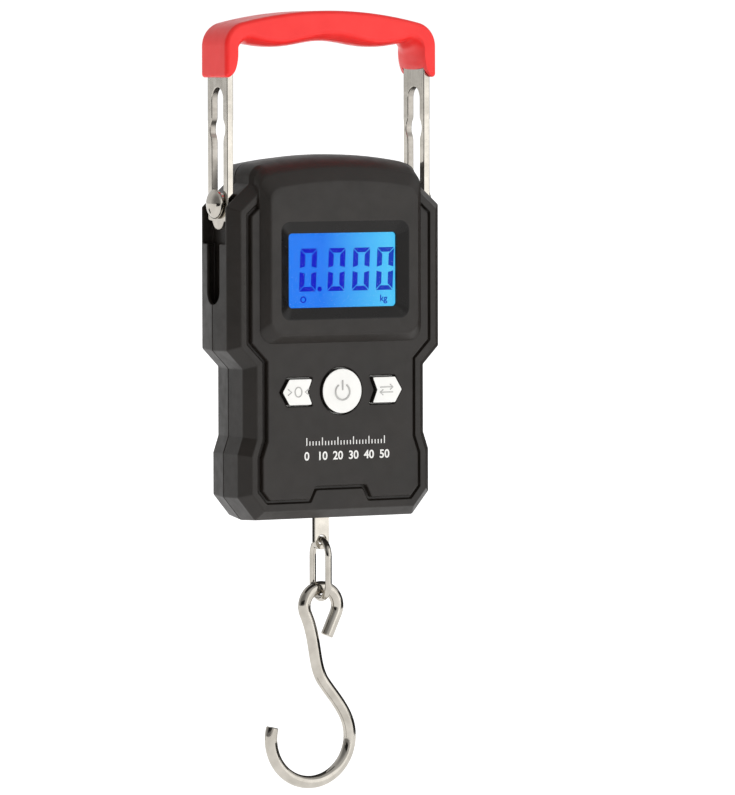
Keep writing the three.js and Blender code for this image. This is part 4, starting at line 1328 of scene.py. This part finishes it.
def key_mark(side):
    """A nought between two arrowheads on the left key; two opposed arrows on the right key."""
    middle = side * KEY_MARK_X
    strokes = []
    if side < 0:
        ring = [(middle + 0.8 * p.x, MARK_Y, p.y) for p in circle(0, BUTTON_Z, 1.5, 28)]
        strokes.append(tube(ring, 0.22, 8, closed=True))
        for way in (-1, 1):
            head = ((3.6, 0.9), (2.4, 0), (3.6, -0.9))
            strokes.append(tube([(middle + way * x, MARK_Y, BUTTON_Z + z) for x, z in head], 0.22, 8))
        return merged(strokes)
    for way in (-1, 1):
        level = BUTTON_Z + way * 0.8
        head = ((1.3, 0.8), (2.3, 0), (1.3, -0.8))
        strokes.append(tube([(middle + x, MARK_Y, level) for x in (-2.2, 0, 2.2)], 0.2, 8))
        strokes.append(tube([(middle + way * x, MARK_Y, level + z) for x, z in head], 0.2, 8))
    return merged(strokes)


def panel_print():
    """Two lines of white print: a row of graduation ticks over the numbers of a dial."""
    y = PANEL_Y - 0.01
    left, right = -12.2, 15.3
    tick_z, number_z = 22.9, 18.4
    marks = []
    for i, x in enumerate(spaced(left, right, 25)):
        height = 2.4 if i % 5 == 0 else 1.3
        marks.append(block((x - 0.16, x + 0.16), (y - 0.02, y + 0.04), (tick_z, tick_z + height)))
    for i, x in enumerate(spaced(left, right, 5)):
        marks.append(text_mesh(str(10 * i), 3.6, x, y, number_z, 0.05))
    return merged(marks)


# ---- Screws, strap, link and hook ----
def shoulder_screw(side):
    outer = CHANNEL_OUTER
    rim = 0.45
    dome = []
    for turn in spaced_turns(0, 90, 14):
        along = outer + rim + (HEAD_RISE - rim) * math.sin(turn)
        dome.append((along, max(0.05, HEAD_RADIUS * math.cos(turn))))
    profile = [
        (27, 1.7), (27.3, 2), (CHANNEL_INNER - 1.9, 2), (CHANNEL_INNER - 1.9, SHANK_RADIUS - 0.2),
        (CHANNEL_INNER - 1.7, SHANK_RADIUS), (outer, SHANK_RADIUS), (outer, HEAD_RADIUS - 0.2),
        (outer + 0.15, HEAD_RADIUS), *dome,
    ]
    return lathe("x", (0, SCREW_Z), [(side * along, radius) for along, radius in profile], 64)


def hook_strap():
    half = STRAP_THICKNESS / 2
    outline = arc(0, STRAP_BOTTOM_Z + STRAP_HALF, STRAP_HALF, 180, 360, 28)
    outline += [Vector((x, STRAP_PIN_Z + 2.5)) for x in (STRAP_HALF, -STRAP_HALF)]
    strip = plate(outline, -half, half)
    holes = [
        bar("y", STRAP_HOLE_RADIUS, -FAR, FAR, (0, STRAP_HOLE_Z), 40),
        bar("y", 1.6, -FAR, FAR, (0, STRAP_PIN_Z), 24),
    ]
    return softened(cut(strip, *holes), 0.22, 3)


LINK_BOTTOM_Z = HOOK_EYE_TOP_Z - HOOK_WIRE / 2 - LINK_WIRE / 2 - FIT


def chain_link():
    top_z = STRAP_HOLE_Z - LINK_HALF
    bottom_z = LINK_BOTTOM_Z + LINK_HALF
    loop = arc(0, top_z, LINK_HALF, 0, 180, 32)
    loop += [Vector((-LINK_HALF, z)) for z in spaced(top_z, bottom_z, 4)[1:-1]]
    loop += arc(0, bottom_z, LINK_HALF, 180, 360, 32)
    loop += [Vector((LINK_HALF, z)) for z in spaced(bottom_z, top_z, 4)[1:-1]]
    return tube([(0, p.x, p.y) for p in loop], LINK_WIRE / 2, 24, closed=True)


def hook_line():
    """The hook's centreline in X and Z, from the eye's tail to the point."""
    eye_z = HOOK_EYE_TOP_Z - EYE_RADIUS
    start = -EYE_OPENING
    end = 180 + EYE_OPENING

    def on_eye(turn, extra=0.0):
        angle = math.radians(turn)
        return Vector((
            EYE_RADIUS * math.cos(angle) - extra * math.sin(angle),
            eye_z + EYE_RADIUS * math.sin(angle) + extra * math.cos(angle),
        ))

    bend = Vector((0.8, -51.9))
    heading = Vector((0.57, -0.82))
    bowl_start = math.radians(14)
    centre = Vector(BOWL_CENTRE)
    bowl = centre + BOWL_RADIUS * Vector((math.cos(bowl_start), math.sin(bowl_start)))
    bowl_pull = 5.5 * Vector((math.sin(bowl_start), -math.cos(bowl_start)))
    tail = on_eye(start, -7.4)
    line = [tail.lerp(on_eye(start), t) for t in spaced(0, 1, 6)[:-1]]
    line += arc(0, eye_z, EYE_RADIUS, start, end, 48)
    line += bezier(on_eye(end), on_eye(end, 9), bend - 6.3 * heading, bend, 24)[1:]
    line += bezier(bend, bend + 5 * heading, bowl - bowl_pull, bowl, 16)[1:]
    line += arc(*centre, BOWL_RADIUS, 14, -195, 64)[1:]
    return line


def hook():
    return tube([(p.x, 0, p.y) for p in hook_line()], HOOK_WIRE / 2, 32, edge=0.3)


def cross_recess(x, z, y, size):
    """A cross-shaped recess, cut into a screw head that faces back."""
    return [
        block((x - size, x + size), (y - 0.9, FAR), (z - 0.28, z + 0.28)),
        block((x - 0.28, x + 0.28), (y - 0.9, FAR), (z - size, z + size)),
    ]


def pan_head_screw(x, z, radius, head, front_y, seat_y, top_y):
    """A pan-head screw that faces back, with thread ridges along its shank."""
    core = radius * 0.8
    profile = [(front_y, 0.3), (front_y + 0.8, core)]
    pitch = 0.9
    ridges = int((seat_y - front_y - 1.2) / pitch)
    for i in range(ridges):
        along = front_y + 1 + i * pitch
        profile += [(along, core), (along + pitch * 0.35, radius), (along + pitch * 0.7, core)]
    profile += [
        (seat_y - 0.05, core), (seat_y, radius), (seat_y, head - 0.15), (seat_y + 0.15, head),
        (seat_y + 0.5, head), (top_y - 0.25, head * 0.86), (top_y, head * 0.55),
    ]
    return cut(lathe("y", (x, z), profile, 28), *cross_recess(x, z, top_y, head * 0.55))


# ---- Cells ----
def dry_cell(x):
    top = BATTERY_BOTTOM_Z + CELL_LENGTH
    low = BATTERY_BOTTOM_Z
    profile = [
        (low, CELL_RADIUS - 0.9), (low + 0.1, CELL_RADIUS - 0.4), (low + 0.5, CELL_RADIUS),
        (top - 1.4, CELL_RADIUS), (top - 1, CELL_RADIUS - 0.15), (top - 0.8, CELL_RADIUS - 0.5),
        (top - 0.8, 2.1), (top - 0.7, 1.9), (top - 0.2, 1.9), (top, 1.7),
    ]
    return lathe("z", (x, BATTERY_Y), profile, 56)


def contact_spring(x):
    """A conical spring, three turns."""
    low, high = box_mm("battery_spring_left")
    turns = 3
    path = []
    for share in spaced(0, 1, 120):
        angle = 2 * math.pi * turns * share
        radius = 3.4 - 1.2 * share
        path.append((
            x + radius * math.cos(angle), BATTERY_Y + radius * math.sin(angle),
            low.z + 0.3 + (high.z - low.z - 0.6) * share,
        ))
    return tube(path, 0.3, 12, 0.05)


# ---- Assembly ----
roughen_slots(stand_for("handle_bracket", handle_bracket()))
stand_for("handle_grip", handle_grip())
polish_and_shade_bezel(stand_for("front_cover", front_cover()))
stand_for("rear_cover", rear_cover())
stand_for("battery_cover", battery_cover())
stand_for("display_window", display_window())
shade_key_flanks(stand_for("power_button", power_button()))
shade_key_flanks(stand_for("left_button", arrow_button(-1)))
shade_key_flanks(stand_for("right_button", arrow_button(1)))
stand_for("shoulder_screw_left", shoulder_screw(-1))
stand_for("shoulder_screw_right", shoulder_screw(1))
stand_for("hook_strap", hook_strap())
stand_for("chain_link", chain_link())
stand_for("hook", hook())
for battery_side, battery_x in (("left", -BATTERY_X), ("right", BATTERY_X)):
    stand_for(f"battery_{battery_side}", dry_cell(battery_x))
    stand_for(f"battery_spring_{battery_side}", contact_spring(battery_x))
for number, place in enumerate(CASE_SCREW_PLACES, 1):
    screw = pan_head_screw(
        *place, CASE_SCREW_RADIUS, CASE_SCREW_HEAD, front_y=-8.5, seat_y=4.1, top_y=5.8
    )
    stand_for(f"case_screw_{number}", screw)
for number, place in enumerate(BOARD_SCREW_PLACES, 1):
    screw = pan_head_screw(
        *place, BOARD_SCREW_RADIUS, BOARD_SCREW_HEAD, front_y=-10, seat_y=-5.3, top_y=-4.2
    )
    stand_for(f"board_screw_{number}", screw)

add_piece("display_marks", display_marks(), segment_ink, "case")
add_piece("panel_print", panel_print(), white_ink, "case")
add_piece("power_mark", power_mark(), grey_ink, "power_key")
add_piece("left_key_mark", key_mark(-1), grey_ink, "left_key")
add_piece("right_key_mark", key_mark(1), grey_ink, "right_key")

SOFTENED_NODES = {  # how far the edges of each are rounded
    "display_glass": 0.1,
    "backlight_plate": 0.15,
    "connector_strip": 0.15,
    "display_frame": 0.15,
    "circuit_board": 0.08,
    "controller_chip": 0.1,
    "switch_power": 0.1,
    "switch_left": 0.1,
    "switch_right": 0.1,
    "load_yoke": 0.2,
    "load_cell": 0.15,
    "yoke_bolt": 0.12,
    "strap_pin": 0.15,
    "gauge_sealant": 0.3,
    "contact_top_left": 0.1,
    "contact_top_right": 0.1,
    "contact_bottom_left": 0.1,
    "contact_bottom_right": 0.1,
}
for soft_node, width in SOFTENED_NODES.items():
    stand_for(soft_node, softened(cad_mesh(soft_node), width))
for wire_node in ("sensor_cable", "battery_lead_left", "battery_lead_right"):
    wire = frame["nodes"][wire_node]
    wire.data.materials.clear()
    wire.data.materials.append(finishes[slot_of_node[wire_node]])


# ---- Stage, light and camera ----
def sheet(name, width, depth, place, look_at, finish):
    """A flat card that faces a point."""
    bm = bmesh.new()
    bmesh.ops.create_grid(bm, x_segments=8, y_segments=8, size=0.5)
    bmesh.ops.scale(bm, vec=(width, depth, 1), verts=bm.verts)
    mesh = bpy.data.meshes.new(name)
    bm.to_mesh(mesh)
    bm.free()
    mesh.materials.append(finish)
    card = new_object(name, mesh)
    card.location = place
    card.rotation_euler = (Vector(look_at) - Vector(place)).to_track_quat("Z", "Y").to_euler()
    return card


def plain_finish(name, low, high, size_mm):
    finish = Finish(name)
    finish.colour(low, high, size_mm)
    finish.roughness(0.7, 0.85, size_mm)
    return finish


def area_light(name, place, size, power, look_at):
    data = bpy.data.lights.new(name, "AREA")
    data.shape = "RECTANGLE"
    data.size, data.size_y = size
    data.energy = power
    lamp = new_object(name, data)
    lamp.location = place
    lamp.rotation_euler = (Vector(look_at) - Vector(place)).to_track_quat("-Z", "Y").to_euler()


object_low, object_high = cad_bounds
middle = (object_low + object_high) / 2
floor_z = object_low.z - 0.06
floor_finish = plain_finish("floor_white", srgb(250, 250, 250), srgb(255, 255, 255), 400)
glow(floor_finish, (1, 1, 1, 1), 0.62)
sheet("floor", 60, 60, (0, 0, floor_z), (0, 0, floor_z + 1), floor_finish.material)


def direction(azimuth, elevation):
    """A unit vector; azimuth turns from +X towards +Y."""
    turn, tilt = math.radians(azimuth), math.radians(elevation)
    return Vector((math.cos(turn) * math.cos(tilt), math.sin(turn) * math.cos(tilt), math.sin(tilt)))


def dark_card(name, width, height, place, look_at):
    """A dark card that only reflections see."""
    card = sheet(name, width, height, place, look_at, dark)
    card.visible_camera = False
    card.visible_diffuse = False
    card.visible_shadow = False
    card.visible_transmission = False


def upright_card(name, towards, distance, width, low_z, high_z):
    place = towards * distance
    place.z = (low_z + high_z) / 2
    dark_card(name, width, high_z - low_z, place, (0, 0, place.z))


dark = plain_finish("dark_card", srgb(6, 6, 6), srgb(12, 12, 12), 200).material
case_low, case_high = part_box("front_cover")
upright_card("card_front_left", direction(207, 0), 0.5, 0.62, case_low.z, case_high.z + 0.02)
upright_card("card_behind_right", direction(12, 0), 0.8, 1.1, floor_z, object_high.z + 0.1)
upright_card("card_right_low", direction(-31, 0), 0.8, 0.3, floor_z, case_low.z - 0.01)
upright_card("card_behind_left", direction(117, 0), 0.7, 0.13, floor_z, case_low.z - 0.01)
above_hook = Vector((0.18, 0.19, case_low.z + 0.01))
dark_card("card_above_hook", 0.36, 0.36, above_hook, above_hook - Vector((0, 0, 1)))

key_place = middle + 2 * direction(-58, 10)
area_light("key", key_place, size=(2.2, 2.2), power=13.5, look_at=middle)


def studio_world():
    """A pale room, white behind the object, with soft dark patches that give metal its streaks."""
    world = bpy.data.worlds.new("studio")
    world.use_nodes = True
    tree = world.node_tree
    towards = tree.nodes.new("ShaderNodeTexCoord").outputs["Generated"]

    def patch(axis, inner, outer, low, high):
        """Goes from low, beyond the outer angle from the axis, to high within the inner one."""
        nearness = tree.nodes.new("ShaderNodeVectorMath")
        nearness.operation = "DOT_PRODUCT"
        tree.links.new(towards, nearness.inputs[0])
        nearness.inputs[1].default_value = axis
        change = tree.nodes.new("ShaderNodeMapRange")
        change.interpolation_type = "SMOOTHSTEP"
        tree.links.new(nearness.outputs["Value"], change.inputs["Value"])
        limits = {
            "From Min": math.cos(math.radians(outer)), "From Max": math.cos(math.radians(inner)),
            "To Min": low, "To Max": high,
        }
        for socket, value in limits.items():
            change.inputs[socket].default_value = value
        return change.outputs["Result"]

    def joined_by(operation, first, second):
        step = tree.nodes.new("ShaderNodeMath")
        step.operation = operation
        tree.links.new(first, step.inputs[0])
        tree.links.new(second, step.inputs[1])
        return step.outputs["Value"]

    room = patch(direction(61, -3), 9, 15, 0.78, 1.05)
    left = patch(direction(190, 5), 25, 65, 1.0, 0.35)
    overhead = patch(direction(0, 90), 30, 55, 1.0, 0.75)
    strength = joined_by("MULTIPLY", joined_by("MULTIPLY", room, left), overhead)
    seen_itself = tree.nodes.new("ShaderNodeLightPath").outputs["Is Camera Ray"]
    strength = joined_by("MAXIMUM", strength, seen_itself)
    tree.links.new(strength, tree.nodes["Background"].inputs["Strength"])
    tree.nodes["Background"].inputs["Color"].default_value = (1, 1, 1, 1)
    bpy.context.scene.world = world


studio_world()
bpy.context.scene.view_settings.view_transform = "Standard"

SENSOR = 36
PHOTO_LONG_SIDE = 795
FOCAL_PIXELS = 6184  # focal length in the photograph's pixels
CAMERA_PLACE = Vector((-926.09, -1689.40, -9.50))  # mm, in the frame
camera_data = bpy.data.cameras.new("camera")
camera_data.sensor_width = SENSOR
camera_data.lens = FOCAL_PIXELS / PHOTO_LONG_SIDE * SENSOR
camera_data.clip_end = 100
camera = new_object("camera", camera_data)
bpy.context.scene.camera = camera
AZIMUTH, ELEVATION, ROLL = (math.radians(angle) for angle in (-29.17, 3.02, -0.14))
forward = Vector((
    -math.sin(AZIMUTH) * math.cos(ELEVATION),
    math.cos(AZIMUTH) * math.cos(ELEVATION),
    -math.sin(ELEVATION),
))
right = Vector((math.cos(AZIMUTH), math.sin(AZIMUTH), 0))
up = right.cross(forward)
right_rolled = right * math.cos(ROLL) + up * math.sin(ROLL)
up_rolled = up * math.cos(ROLL) - right * math.sin(ROLL)
facing = Matrix((right_rolled, up_rolled, -forward)).transposed().to_4x4()
camera.matrix_world = Matrix.Translation(CAMERA_PLACE * MM) @ facing
